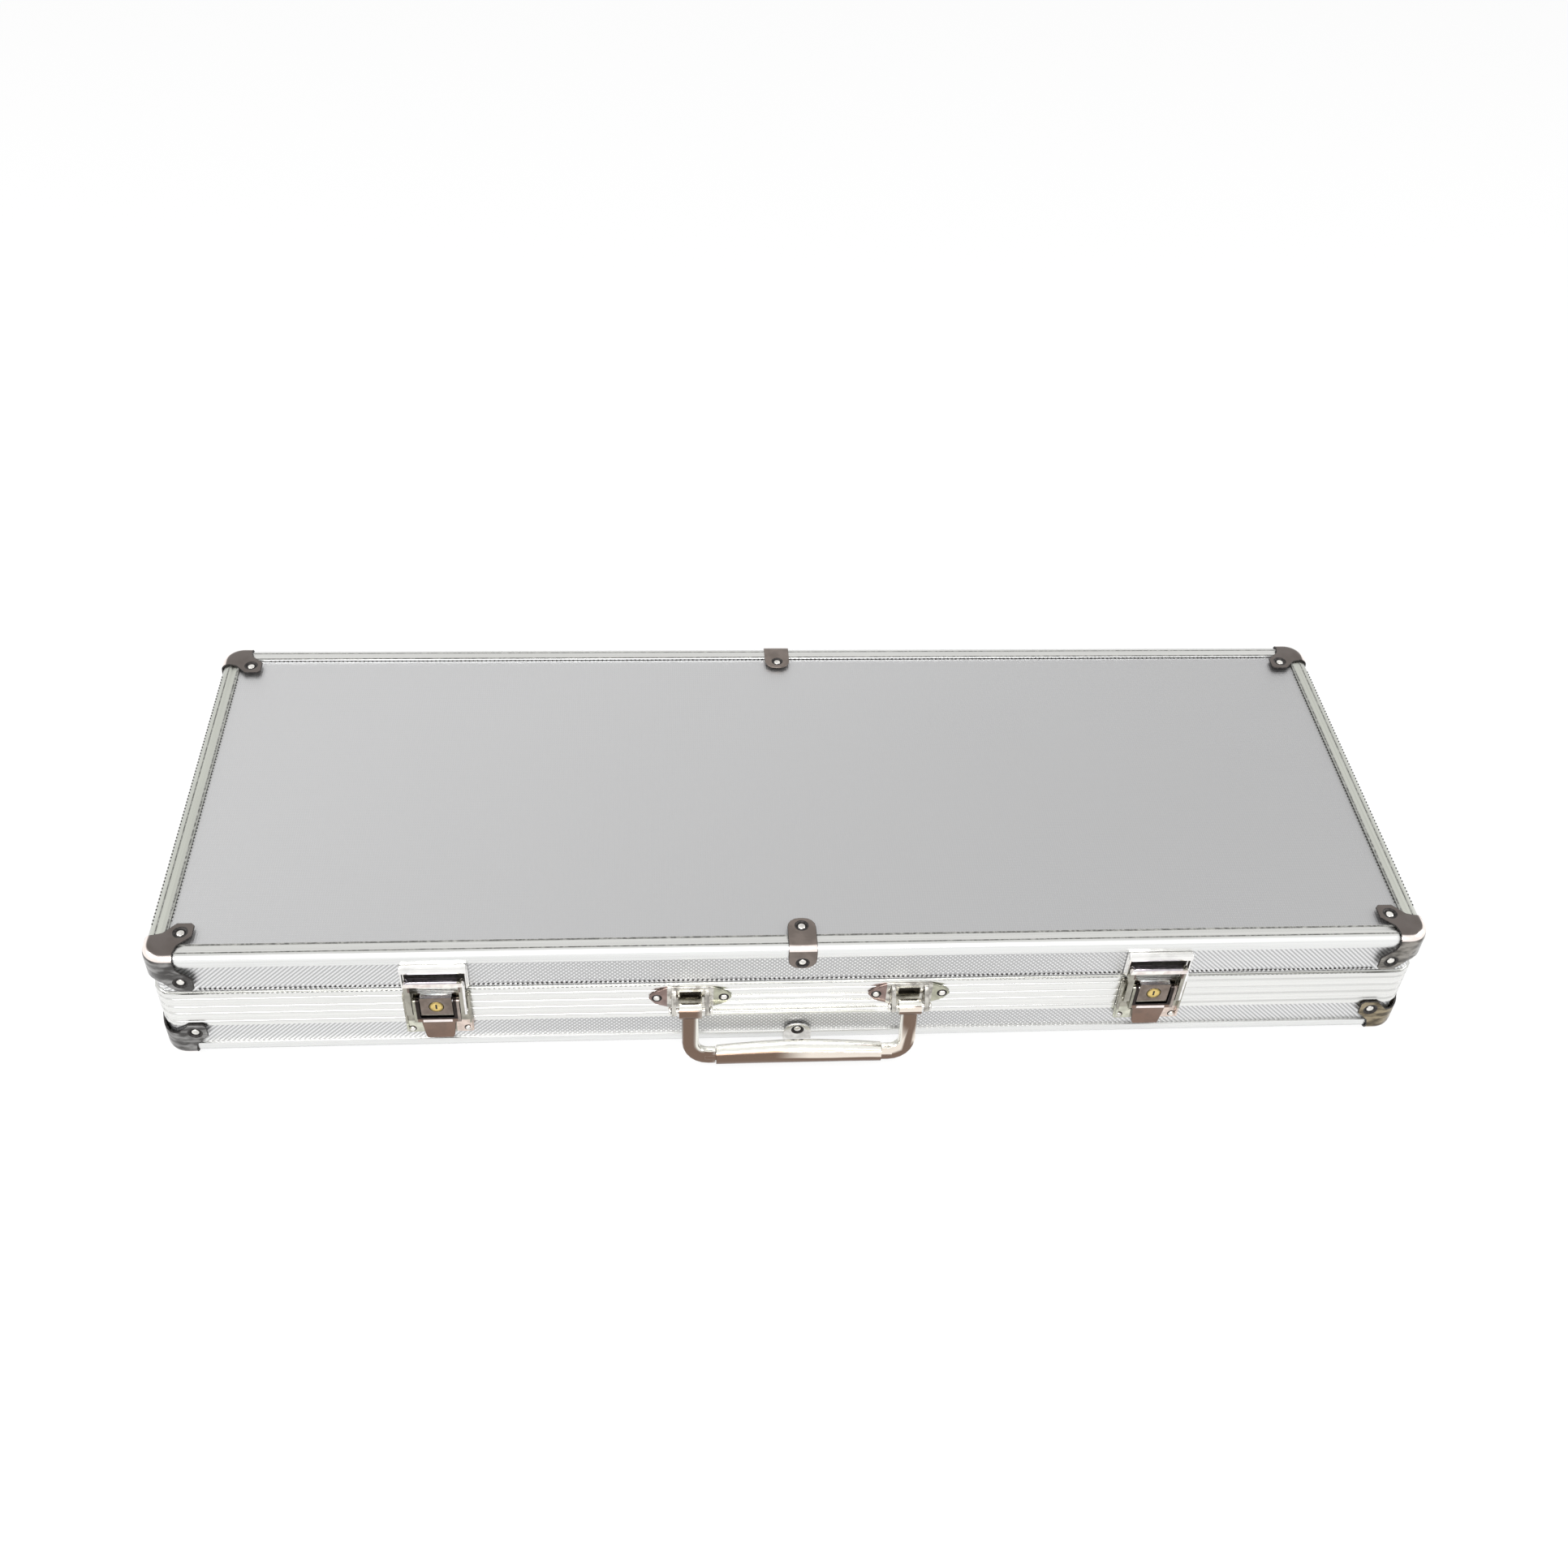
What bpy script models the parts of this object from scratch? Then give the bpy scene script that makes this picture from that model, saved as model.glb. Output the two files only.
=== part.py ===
"""Aluminium poker chip case, closed, with its carrying handle let down in front.

The case stands on the XY plane, its front faces -Y and its hinges are at the back.
Every length is in metres. Sizes that can be set by themselves stand at the top, and
every other size and place is worked out from them.
"""

import bpy
import bmesh
from math import acos, cos, pi, radians, sin
from mathutils import Matrix, Vector

# Overall size, over the corner plates
CASE_LENGTH = 0.560
CASE_WIDTH = 0.210
CASE_HEIGHT = 0.064
SEAM_HEIGHT = 0.040
CORNER_RADIUS = 0.009
EDGE_RADIUS = 0.003

# Gap that is left between pieces that seat on each other
FIT_GAP = 0.0003
CUT_OVERRUN = 0.002
ARC_STEPS = 4

# Edge profiles, boards and rim frames
PROFILE_WALL = 0.0008
PROFILE_FLANGE = 0.0084
PROFILE_SKIRT = 0.0058
PROFILE_INNER_REACH = 0.008
PROFILE_GROOVE = 0.0003
BOARD_THICKNESS = 0.003
RIM_BAND_HEIGHT = 0.021
RIM_INNER_HEIGHT = 0.010
RIM_WEB = 0.0012
RIM_GROOVE_DEPTH = 0.00045
RIM_GROOVE_HALF_WIDTH = 0.00035
RIM_GROOVE_SHARES = (0.143, 0.405, 0.61, 0.857)

# Pressed corner plates and edge clips
PLATE_THICKNESS = 0.0008
PLATE_BODY = 0.0131
PLATE_REACH = 0.0195
PLATE_SHOULDER_SHARE = 0.25
PLATE_NOTCH_SHARE = 0.52
PLATE_WAIST_SHARE = 0.72
PLATE_EAR_SHARE = 0.61
PLATE_TIP_SHARE = 0.925
CLIP_WIDTH = 0.0125
CLIP_TOP_REACH = 0.017
CLIP_DROP = 0.0116
CLIP_END_RADIUS = 0.0052

# Chip trays, card tray and lid pad
CHIP_DIAMETER = 0.039
CHIP_CLEARANCE = 0.0014
CHIP_ROW_LENGTH = 0.167
CHIP_ROWS = 5
TRAY_WALL = 0.0008
TRAY_RIM_DROP = 0.0005
CARD_WELL_WIDTH = 0.066
CARD_WELL_LENGTH = 0.092
CARD_WELL_DEPTH = 0.0175
BUTTON_WELL_DIAMETER = 0.051
BUTTON_WELL_DEPTH = 0.009
DICE_SLOT_WIDTH = 0.0175
DICE_SLOT_LENGTH = 0.084
DICE_SLOT_DEPTH = 0.014
PAD_SIDE_GAP = 0.0006
PAD_CHIP_GAP = 0.0008
PAD_EDGE_RADIUS = 0.002

# Hinges
HINGE_SPACING = 0.340
HINGE_LENGTH = 0.040
HINGE_KNUCKLES = 3
HINGE_LEAF_THICKNESS = 0.0012
HINGE_LEAF_DROP = 0.018
HINGE_LEAF_RISE = 0.0165
HINGE_JOGGLE_START = 0.0034
HINGE_JOGGLE_END = 0.0048
HINGE_PIN_DIAMETER = 0.0026
HINGE_KNUCKLE_GAP = 0.0004
HINGE_PIN_OVERHANG = 0.0003
HINGE_CURL_ANGLE = radians(300.0)
HINGE_CURL_STEPS = 10

# Draw latches
LATCH_SPACING = 0.317
LATCH_WIDTH = 0.0292
LATCH_PLATE = 0.001
LATCH_RAIL_WIDTH = 0.0012
LATCH_RAIL_OUT = 0.003
LATCH_INSET_SHARE = 0.25
LATCH_BASE_BOTTOM = 0.0135
LATCH_PIVOT_HEIGHT = 0.0366
LATCH_PIVOT_OUT = 0.0032
LATCH_PIN_DIAMETER = 0.0018
LATCH_BOSS_DIAMETER = 0.0048
LOCK_BLOCK_WIDTH = 0.0138
LOCK_BLOCK_BOTTOM = 0.0278
LOCK_BLOCK_TOP = 0.0394
LOCK_BLOCK_OUT = 0.0042
LOCK_BLOCK_BEVEL = 0.0005
LOCK_HEIGHT = 0.0338
LOCK_DIAMETER = 0.0060
LOCK_DEPTH = 0.0026
LOCK_PROUD = 0.0002
KEY_SLOT_WIDTH = 0.0008
KEY_SLOT_LENGTH = 0.0034
KEY_SLOT_DEPTH = 0.0008
LEVER_ARM_RADIUS = 0.0016
LEVER_ARM_WIDTH = 0.0028
FORK_ROUND_SHARE = 0.95
LEVER_SIDE_GAP = 0.0004
LEVER_BAR_TOP = 0.027
LEVER_BAR_HEIGHT = 0.0028
LEVER_TAB_BOTTOM = 0.0123
LEVER_TAB_THICKNESS = 0.0012
LEVER_TAB_WIDTH = 0.0144
LEVER_TAB_TIP_WIDTH = 0.0112
LEVER_TAB_TIP_OUT = 0.0026
LEVER_TAB_FLARE_SHARE = 0.44
CLAW_ARM_WIDTH = 0.0026
CLAW_PIN_DROP = 0.007
CLAW_TOP = 0.050
CLAW_BAR_HEIGHT = 0.003
CLAW_CORNER_RADIUS = 0.0022
KEEPER_TOP = 0.0568
KEEPER_BOTTOM = 0.042
KEEPER_BAR_HEIGHT = 0.0034
KEEPER_BAR_OUT = 0.0025
KEEPER_LIP_BOTTOM = 0.0436
KEEPER_LIP_TOP = 0.0466
KEEPER_LIP_OUT = 0.0011
KEEPER_LIP_WIDTH = 0.0196

# Carrying handle and its brackets
HANDLE_SPACING = 0.097
HANDLE_PIVOT_HEIGHT = 0.030
HANDLE_PIVOT_OUT = 0.006
HANDLE_DROP = 0.0258
HANDLE_ARM_WIDTH = 0.0074
HANDLE_ARM_THICKNESS = 0.0046
HANDLE_BEND_RADIUS = 0.008
HANDLE_ARM_INSET = 0.0115
HANDLE_HEAD_WIDTH = 0.010
HANDLE_HEAD_DIAMETER = 0.0072
HANDLE_HEAD_REACH_SHARE = 1 / 3
HANDLE_EDGE_SHARE = 2 / 3
HANDLE_FLOOR_GAP = 0.0002
GRIP_END_HALF_HEIGHT = 0.0044
GRIP_MIDDLE_HALF_HEIGHT = 0.0054
GRIP_END_HALF_DEPTH = 0.0043
GRIP_MIDDLE_HALF_DEPTH = 0.0050
GRIP_ARCH = 0.0013
GRIP_STATIONS = 9
GRIP_SIDES = 14
SPIGOT_DIAMETER = 0.0050
SPIGOT_LENGTH = 0.005
BRACKET_LENGTH = 0.0365
BRACKET_HEIGHT = 0.0124
BRACKET_TOP_GAP = 0.0004
BRACKET_PLATE = 0.001
BRACKET_CENTRE_SHARE = 0.52
BRACKET_WING_SHARE = 0.84
BRACKET_WING_HEIGHT_SHARE = 0.62
EAR_SPACING = 0.0146
EAR_THICKNESS = 0.0020
EAR_RADIUS = 0.0025
EAR_ROUND_ANGLE = radians(150.0)
HANDLE_PIN_DIAMETER = 0.0026
HANDLE_PIN_HEAD_DIAMETER = 0.0038
HANDLE_PIN_HEAD_LENGTH = 0.0011

# Sizes worked out from the ones above
SKIN_GAP = PLATE_THICKNESS + FIT_GAP
HALF_LENGTH = CASE_LENGTH / 2 - SKIN_GAP
HALF_WIDTH = CASE_WIDTH / 2 - SKIN_GAP
BODY_BOTTOM = SKIN_GAP
BODY_TOP = CASE_HEIGHT - SKIN_GAP
BASE_TOP = SEAM_HEIGHT - FIT_GAP / 2
LID_BOTTOM = SEAM_HEIGHT + FIT_GAP / 2
BOARD_OUTER = PROFILE_WALL + FIT_GAP
BOARD_INNER = BOARD_OUTER + BOARD_THICKNESS
SLOT_INNER = BOARD_INNER + FIT_GAP
FRAME_INNER = SLOT_INNER + PROFILE_WALL
SLOT_END = SLOT_INNER + PROFILE_WALL / 2
RIM_BOTTOM = SEAM_HEIGHT - RIM_BAND_HEIGHT

HINGE_CURL_RADIUS = HINGE_PIN_DIAMETER / 2 + FIT_GAP
HINGE_AXIS_OUT = FIT_GAP + HINGE_LEAF_THICKNESS + HINGE_CURL_RADIUS
HINGE_OUTER_RADIUS = HINGE_CURL_RADIUS + HINGE_LEAF_THICKNESS

TRAY_BOTTOM = BODY_BOTTOM + FRAME_INNER + FIT_GAP
CHIP_CHANNEL_RADIUS = (CHIP_DIAMETER + CHIP_CLEARANCE) / 2
CHIP_AXIS_HEIGHT = TRAY_BOTTOM + TRAY_WALL + CHIP_CHANNEL_RADIUS
TRAY_TOP = CHIP_AXIS_HEIGHT - TRAY_RIM_DROP
TRAY_HALF_LENGTH = HALF_LENGTH - FRAME_INNER - FIT_GAP
TRAY_HALF_WIDTH = HALF_WIDTH - FRAME_INNER - FIT_GAP
TRAY_CORNER_RADIUS = CORNER_RADIUS - FRAME_INNER - FIT_GAP
CHIP_PITCH = 2 * CHIP_CHANNEL_RADIUS + TRAY_WALL
CHIP_TRAY_LENGTH = CHIP_ROWS * CHIP_PITCH
PAD_BOTTOM = CHIP_AXIS_HEIGHT + CHIP_DIAMETER / 2 + PAD_CHIP_GAP
PAD_TOP = BODY_TOP - BOARD_INNER - FIT_GAP
PAD_INSET = PROFILE_INNER_REACH + PAD_SIDE_GAP

LEVER_INNER = LOCK_BLOCK_WIDTH / 2 + LEVER_SIDE_GAP
LEVER_OUTER = LEVER_INNER + LEVER_ARM_WIDTH
CLAW_INNER = LEVER_OUTER + FIT_GAP
CLAW_OUTER = CLAW_INNER + CLAW_ARM_WIDTH
CLAW_PIN_HEIGHT = LATCH_PIVOT_HEIGHT - CLAW_PIN_DROP

HANDLE_HALF = HANDLE_SPACING / 2
GRIP_HALF = HANDLE_HALF - HANDLE_ARM_INSET
BRACKET_TOP = BASE_TOP - BRACKET_TOP_GAP
BRACKET_MIDDLE = BRACKET_TOP - BRACKET_HEIGHT / 2
# The handle leans until its grip rests on the table, or hangs straight where it is too short
HANDLE_LEAN_COSINE = (HANDLE_PIVOT_HEIGHT - GRIP_END_HALF_HEIGHT - HANDLE_FLOOR_GAP) / HANDLE_DROP
HANDLE_LEAN = acos(min(1.0, HANDLE_LEAN_COSINE))

# Finishes: colour, roughness, metallic
ALUMINIUM = ((0.80, 0.81, 0.80), 0.38, 1.0)
FOILED_BOARD = ((0.72, 0.72, 0.72), 0.45, 0.6)
CHROME = ((0.62, 0.59, 0.56), 0.12, 1.0)
STEEL = ((0.55, 0.54, 0.52), 0.25, 1.0)
BRASS = ((0.80, 0.66, 0.33), 0.28, 1.0)
FLOCK = ((0.015, 0.015, 0.017), 0.95, 0.0)
FOAM = ((0.03, 0.03, 0.033), 0.9, 0.0)

SMOOTH_ANGLE = radians(40.0)
QUARTER_TURN = pi / 2
ROUND_STEPS = 16
ROUND_PROFILE_SHARE = 0.5


# Scene helpers

def clear_scene():
    """Remove every object that the open file holds."""
    for item in list(bpy.data.objects):
        bpy.data.objects.remove(item, do_unlink=True)


def add_empty(name, place, parent=None):
    """Add an empty that carries pieces, at a place in its parent's frame."""
    empty = bpy.data.objects.new(name, None)
    empty.empty_display_size = FRAME_INNER
    empty.location = place
    empty.parent = parent
    bpy.context.collection.objects.link(empty)
    return empty


def finished(obj, finish):
    """Give a piece its own material and smooth its round faces."""
    colour, roughness, metallic = finish
    material = bpy.data.materials.new(obj.name)
    material.use_nodes = True
    shader = material.node_tree.nodes["Principled BSDF"]
    shader.inputs["Base Color"].default_value = (*colour, 1.0)
    shader.inputs["Roughness"].default_value = roughness
    shader.inputs["Metallic"].default_value = metallic
    obj.data.materials.clear()
    obj.data.materials.append(material)
    obj.data.shade_smooth()
    obj.data.set_sharp_from_angle(angle=SMOOTH_ANGLE)
    return obj


def add_object(name, mesh, parent):
    """Link a mesh that is built in its parent's frame."""
    obj = bpy.data.objects.new(name, mesh)
    obj.parent = parent
    bpy.context.collection.objects.link(obj)
    return obj


def mesh_from(bm, name):
    """Close a bmesh into a mesh with its faces pointing out."""
    bmesh.ops.recalc_face_normals(bm, faces=bm.faces)
    mesh = bpy.data.meshes.new(name)
    bm.to_mesh(mesh)
    bm.free()
    return mesh


def hidden_tool(name, mesh, parent):
    """Link a shape that only cuts or joins another."""
    tool = add_object(name, mesh, parent)
    tool.hide_render = True
    tool.display_type = 'WIRE'
    return tool


def combine(target, tools, operation):
    """Join, cut or keep the overlap of a target with each tool in turn."""
    for tool in tools:
        modifier = target.modifiers.new(tool.name, 'BOOLEAN')
        modifier.operation = operation
        modifier.solver = 'EXACT'
        modifier.object = tool


# Shape helpers

def loft(rings, closed=False, name="loft"):
    """Skin a row of rings that have equal numbers of points, and cap an open row."""
    bm = bmesh.new()
    rows = [[bm.verts.new(point) for point in ring] for ring in rings]
    pairs = list(zip(rows, rows[1:]))
    if closed:
        pairs.append((rows[-1], rows[0]))
    for here, there in pairs:
        for index in range(len(here)):
            after = (index + 1) % len(here)
            bm.faces.new((here[index], here[after], there[after], there[index]))
    if not closed:
        bm.faces.new(rows[0])
        bm.faces.new(rows[-1])
    return mesh_from(bm, name)


def prism(outline, place, start, end, name="prism"):
    """Extrude a flat outline: place(a, b, depth) gives the point at each end."""
    rings = [[place(a, b, depth) for a, b in outline] for depth in (start, end)]
    return loft(rings, name=name)


def along_x(a, b, depth):
    """Outline in the YZ plane, extruded along X."""
    return (depth, a, b)


def along_y(a, b, depth):
    """Outline in the XZ plane, extruded along Y."""
    return (a, depth, b)


def along_z(a, b, depth):
    """Outline in the XY plane, extruded along Z."""
    return (a, b, depth)


def box(low, high, name="box"):
    """Box between two corners."""
    outline = rectangle(low[0], low[1], high[0], high[1])
    return prism(outline, along_z, low[2], high[2], name)


def rectangle(left, low, right, high):
    """Corners of a rectangle, counterclockwise."""
    return [(left, low), (right, low), (right, high), (left, high)]


def arc(centre, radius, start, sweep, steps):
    """Points of an arc, both ends included."""
    return [(centre[0] + radius * cos(start + sweep * step / steps),
             centre[1] + radius * sin(start + sweep * step / steps))
            for step in range(steps + 1)]


def circle(centre, radius, steps=ROUND_STEPS):
    """Points of a full circle."""
    return arc(centre, radius, 0, 2 * pi, steps)[:-1]


def rounded_rectangle(left, low, right, high, radius, steps=ARC_STEPS):
    """Outline of a rectangle with round corners, counterclockwise."""
    centres = [(right - radius, high - radius), (left + radius, high - radius),
               (left + radius, low + radius), (right - radius, low + radius)]
    points = []
    for quarter, centre in enumerate(centres):
        points += arc(centre, radius, quarter * QUARTER_TURN, QUARTER_TURN, steps)
    return points


def front(out):
    """Y of a point that stands out from the body's front face."""
    return -HALF_WIDTH - out


def back(out):
    """Y of a point that stands out from the body's back face."""
    return HALF_WIDTH + out


# The body's plan: corner 0 is right back, then counterclockwise seen from above

CORNER_SIGNS = ((1, 1), (-1, 1), (-1, -1), (1, -1))
SIDE_NAMES = ("back", "left", "front", "right")


def corner_station(corner, step):
    """Foot on the outer face and outward direction at a step of a corner's round."""
    sign_x, sign_y = CORNER_SIGNS[corner % len(CORNER_SIGNS)]
    angle = (corner + step / ARC_STEPS) * QUARTER_TURN
    outward = Vector((cos(angle), sin(angle)))
    centre = Vector((sign_x * (HALF_LENGTH - CORNER_RADIUS), sign_y * (HALF_WIDTH - CORNER_RADIUS)))
    return centre + outward * CORNER_RADIUS, outward


def slid(station, distance):
    """Station moved along its face, counterclockwise seen from above."""
    foot, outward = station
    return foot + Vector((-outward.y, outward.x)) * distance, outward


def half_corner_run(side):
    """Stations of one side, mitred in the middle of both its corners."""
    middle = ARC_STEPS // 2
    first = [corner_station(side, step) for step in range(middle, ARC_STEPS + 1)]
    last = [corner_station(side + 1, step) for step in range(middle + 1)]
    first[0] = slid(first[0], FIT_GAP / 2)
    last[-1] = slid(last[-1], -FIT_GAP / 2)
    return first + last


def ring_run():
    """Stations all the way round."""
    return [corner_station(corner, step)
            for corner in range(len(CORNER_SIGNS)) for step in range(ARC_STEPS + 1)]


def sweep(stations, section, closed=False, name="sweep"):
    """Carry a section of (inset, height) points along the body's plan."""
    rings = [[(*(foot - outward * inset), height) for inset, height in section]
             for foot, outward in stations]
    return loft(rings, closed, name)


def plan_outline(inset):
    """The body's plan, moved in by an inset."""
    return [tuple(foot - outward * inset) for foot, outward in ring_run()]


# Boards and extrusions

def profile_section(height_at):
    """Section of an edge profile; height_at turns a depth from the edge into Z."""
    round_points = arc((EDGE_RADIUS, EDGE_RADIUS), EDGE_RADIUS, pi, QUARTER_TURN, ARC_STEPS - 1)
    groove = [(EDGE_RADIUS + PROFILE_GROOVE, PROFILE_GROOVE), (EDGE_RADIUS + 2 * PROFILE_GROOVE, 0)]
    block_inner = BOARD_INNER - FIT_GAP
    points = [(0, PROFILE_SKIRT)] + round_points + groove + [
        (PROFILE_FLANGE, 0), (PROFILE_FLANGE, PROFILE_WALL),
        (block_inner, PROFILE_WALL), (block_inner, SLOT_INNER),
        (PROFILE_INNER_REACH, SLOT_INNER), (PROFILE_INNER_REACH, FRAME_INNER),
        (FRAME_INNER, FRAME_INNER), (FRAME_INNER, PROFILE_INNER_REACH),
        (SLOT_INNER, PROFILE_INNER_REACH), (SLOT_INNER, SLOT_END),
        (PROFILE_WALL, SLOT_END), (PROFILE_WALL, PROFILE_SKIRT)]
    return [(inset, height_at(depth)) for inset, depth in points]


def above_floor(depth):
    """Height of a depth that is measured up from the body's bottom."""
    return BODY_BOTTOM + depth


def below_top(depth):
    """Height of a depth that is measured down from the body's top."""
    return BODY_TOP - depth


def edge_profile(name, side, height_at, parent):
    """One mitred edge extrusion with slots for the wall and the panel."""
    mesh = sweep(half_corner_run(side), profile_section(height_at), name=name)
    return finished(add_object(name, mesh, parent), ALUMINIUM)


def wall_board(name, stations, low, high, parent):
    """One foil-faced wall board."""
    section = [(BOARD_OUTER, low), (BOARD_INNER, low), (BOARD_INNER, high), (BOARD_OUTER, high)]
    mesh = sweep(stations, section, name=name)
    return finished(add_object(name, mesh, parent), FOILED_BOARD)


def panel_board(name, low, high, parent):
    """The flat board that closes the base or the lid."""
    mesh = prism(plan_outline(BOARD_INNER), along_z, low, high, name)
    return finished(add_object(name, mesh, parent), FOILED_BOARD)


def base_rim(parent):
    """Ribbed band round the base, with a slot for the wall's top edge."""
    band = BASE_TOP - RIM_BOTTOM
    outer = [(0, RIM_BOTTOM)]
    for share in RIM_GROOVE_SHARES:
        level = RIM_BOTTOM + band * share
        outer += [(0, level - RIM_GROOVE_HALF_WIDTH), (RIM_GROOVE_DEPTH, level),
                  (0, level + RIM_GROOVE_HALF_WIDTH)]
    web = BASE_TOP - RIM_WEB
    inner = [(0, BASE_TOP), (FRAME_INNER, BASE_TOP), (FRAME_INNER, BASE_TOP - RIM_INNER_HEIGHT),
             (SLOT_INNER, BASE_TOP - RIM_INNER_HEIGHT), (SLOT_INNER, web),
             (PROFILE_WALL, web), (PROFILE_WALL, RIM_BOTTOM)]
    mesh = sweep(ring_run(), outer + inner, closed=True, name="base_rim_frame")
    return finished(add_object("base_rim_frame", mesh, parent), ALUMINIUM)


def lid_rim(parent):
    """Angle round the lid's lower edge, under and behind the wall."""
    web = LID_BOTTOM + PROFILE_WALL
    reach = LID_BOTTOM + RIM_INNER_HEIGHT
    section = [(PROFILE_WALL, LID_BOTTOM), (FRAME_INNER, LID_BOTTOM), (FRAME_INNER, reach),
               (SLOT_INNER, reach), (SLOT_INNER, web), (PROFILE_WALL, web)]
    mesh = sweep(ring_run(), section, closed=True, name="lid_rim_frame")
    return finished(add_object("lid_rim_frame", mesh, parent), ALUMINIUM)


def shell_boards(base, lid):
    """Walls and panels of both halves."""
    wall_low = above_floor(SLOT_END + FIT_GAP)
    wall_high = BASE_TOP - RIM_WEB - FIT_GAP
    lid_low = LID_BOTTOM + PROFILE_WALL + FIT_GAP
    lid_high = below_top(SLOT_END + FIT_GAP)
    for side, name in enumerate(SIDE_NAMES):
        stations = half_corner_run(side)
        wall_board("base_wall_" + name, stations, wall_low, wall_high, base)
        wall_board("lid_wall_" + name, stations, lid_low, lid_high, lid)
    panel_board("bottom_panel", above_floor(BOARD_OUTER), above_floor(BOARD_INNER), base)
    panel_board("lid_top_panel", below_top(BOARD_INNER), below_top(BOARD_OUTER), lid)


def shell_profiles(base, lid):
    """Mitred edge profiles of both halves."""
    for side, name in enumerate(SIDE_NAMES):
        edge_profile("bottom_profile_" + name, side, above_floor, base)
        edge_profile("top_profile_" + name, side, below_top, lid)


# Pressed corner plates

def corner_block(grow, extra):
    """Rounded outer corner of the body, grown by an offset, as a solid at the origin."""
    reach = PLATE_REACH + grow + extra
    edge = EDGE_RADIUS + grow
    steps = arc((edge, edge), edge, QUARTER_TURN * 3, -QUARTER_TURN, ARC_STEPS)
    levels = [(inset, depth - grow) for inset, depth in steps] + [(0, reach)]
    rings = []
    for inset, depth in levels:
        radius = CORNER_RADIUS + grow - inset
        centre = (CORNER_RADIUS, CORNER_RADIUS)
        bend = arc(centre, radius, pi, QUARTER_TURN, ARC_STEPS)
        ring = [(reach, reach), (inset - grow, reach)] + bend + [(reach, inset - grow)]
        rings.append([(a, b, depth) for a, b in ring])
    return loft(rings, name="corner_block")


def plate_face(reach_from):
    """Outline of the plate on one face: a square body and an eared diagonal."""
    notch = PLATE_REACH * PLATE_WAIST_SHARE
    waist = PLATE_BODY * PLATE_NOTCH_SHARE
    ear = PLATE_REACH * PLATE_EAR_SHARE
    tip = PLATE_REACH * PLATE_TIP_SHARE
    shoulder = PLATE_BODY * PLATE_SHOULDER_SHARE
    return [(reach_from, reach_from), (PLATE_BODY, reach_from), (PLATE_BODY, shoulder),
            (notch, waist), (PLATE_REACH, ear), (PLATE_REACH, tip), (tip, PLATE_REACH),
            (ear, PLATE_REACH), (waist, notch), (shoulder, PLATE_BODY), (reach_from, PLATE_BODY)]


def corner_plate_mesh(parent):
    """Three-way pressed plate for the corner at the origin, apart from its place."""
    outside = -SKIN_GAP - CUT_OVERRUN
    depth = EDGE_RADIUS + CORNER_RADIUS / 2
    outline = plate_face(outside)
    top = hidden_tool("plate_outline_top", prism(outline, along_z, outside, depth), parent)
    face = hidden_tool("plate_outline_front", prism(outline, along_y, outside, depth), parent)
    side = hidden_tool("plate_outline_side", prism(outline, along_x, outside, depth), parent)
    combine(top, (face, side), 'UNION')
    inner = hidden_tool("plate_inner", corner_block(FIT_GAP, CUT_OVERRUN), parent)
    plate = hidden_tool("plate_pattern", corner_block(SKIN_GAP, 0), parent)
    combine(plate, (inner,), 'DIFFERENCE')
    combine(plate, (top,), 'INTERSECT')
    bpy.context.view_layer.update()
    graph = bpy.context.evaluated_depsgraph_get()
    return bpy.data.meshes.new_from_object(plate.evaluated_get(graph))


def corner_plates(base, lid, pattern):
    """Eight plates, each a mirrored copy of the pattern."""
    names = {(1, 1): "back_right", (-1, 1): "back_left", (-1, -1): "front_left", (1, -1): "front_right"}
    for (sign_x, sign_y), place in names.items():
        for half, parent, sign_z, level in (("base", base, 1, BODY_BOTTOM), ("lid", lid, -1, BODY_TOP)):
            mesh = pattern.copy()
            mirror = Matrix.Diagonal((-sign_x, -sign_y, sign_z, 1))
            mesh.transform(Matrix.Translation((sign_x * HALF_LENGTH, sign_y * HALF_WIDTH, level)) @ mirror)
            if sign_x * sign_y * sign_z < 0:
                mesh.flip_normals()
            name = half + "_corner_plate_" + place
            finished(add_object(name, mesh, parent), CHROME)


# Edge clips

def edge_clip(name, sign_y, height_at, parent):
    """Bent strip with round ends that laps over an edge at the middle of a side."""
    half = CLIP_WIDTH / 2
    outer = arc((EDGE_RADIUS, EDGE_RADIUS), EDGE_RADIUS + SKIN_GAP, pi, QUARTER_TURN, ARC_STEPS)
    inner = arc((EDGE_RADIUS, EDGE_RADIUS), EDGE_RADIUS + FIT_GAP, pi, QUARTER_TURN, ARC_STEPS)
    section = [(-SKIN_GAP, CLIP_DROP)] + outer + [(CLIP_TOP_REACH, -SKIN_GAP)]
    section += [(CLIP_TOP_REACH, -FIT_GAP)] + inner[::-1] + [(-FIT_GAP, CLIP_DROP)]
    outline = [(sign_y * (HALF_WIDTH - inset), height_at(depth)) for inset, depth in section]
    bm = bmesh.new()
    bm.from_mesh(prism(outline, along_x, -half, half))
    tips = [edge for edge in bm.edges if is_clip_tip(edge)]
    bmesh.ops.bevel(bm, geom=tips, offset=CLIP_END_RADIUS, segments=ARC_STEPS,
                    profile=ROUND_PROFILE_SHARE, affect='EDGES')
    return finished(add_object(name, mesh_from(bm, name), parent), CHROME)


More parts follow.
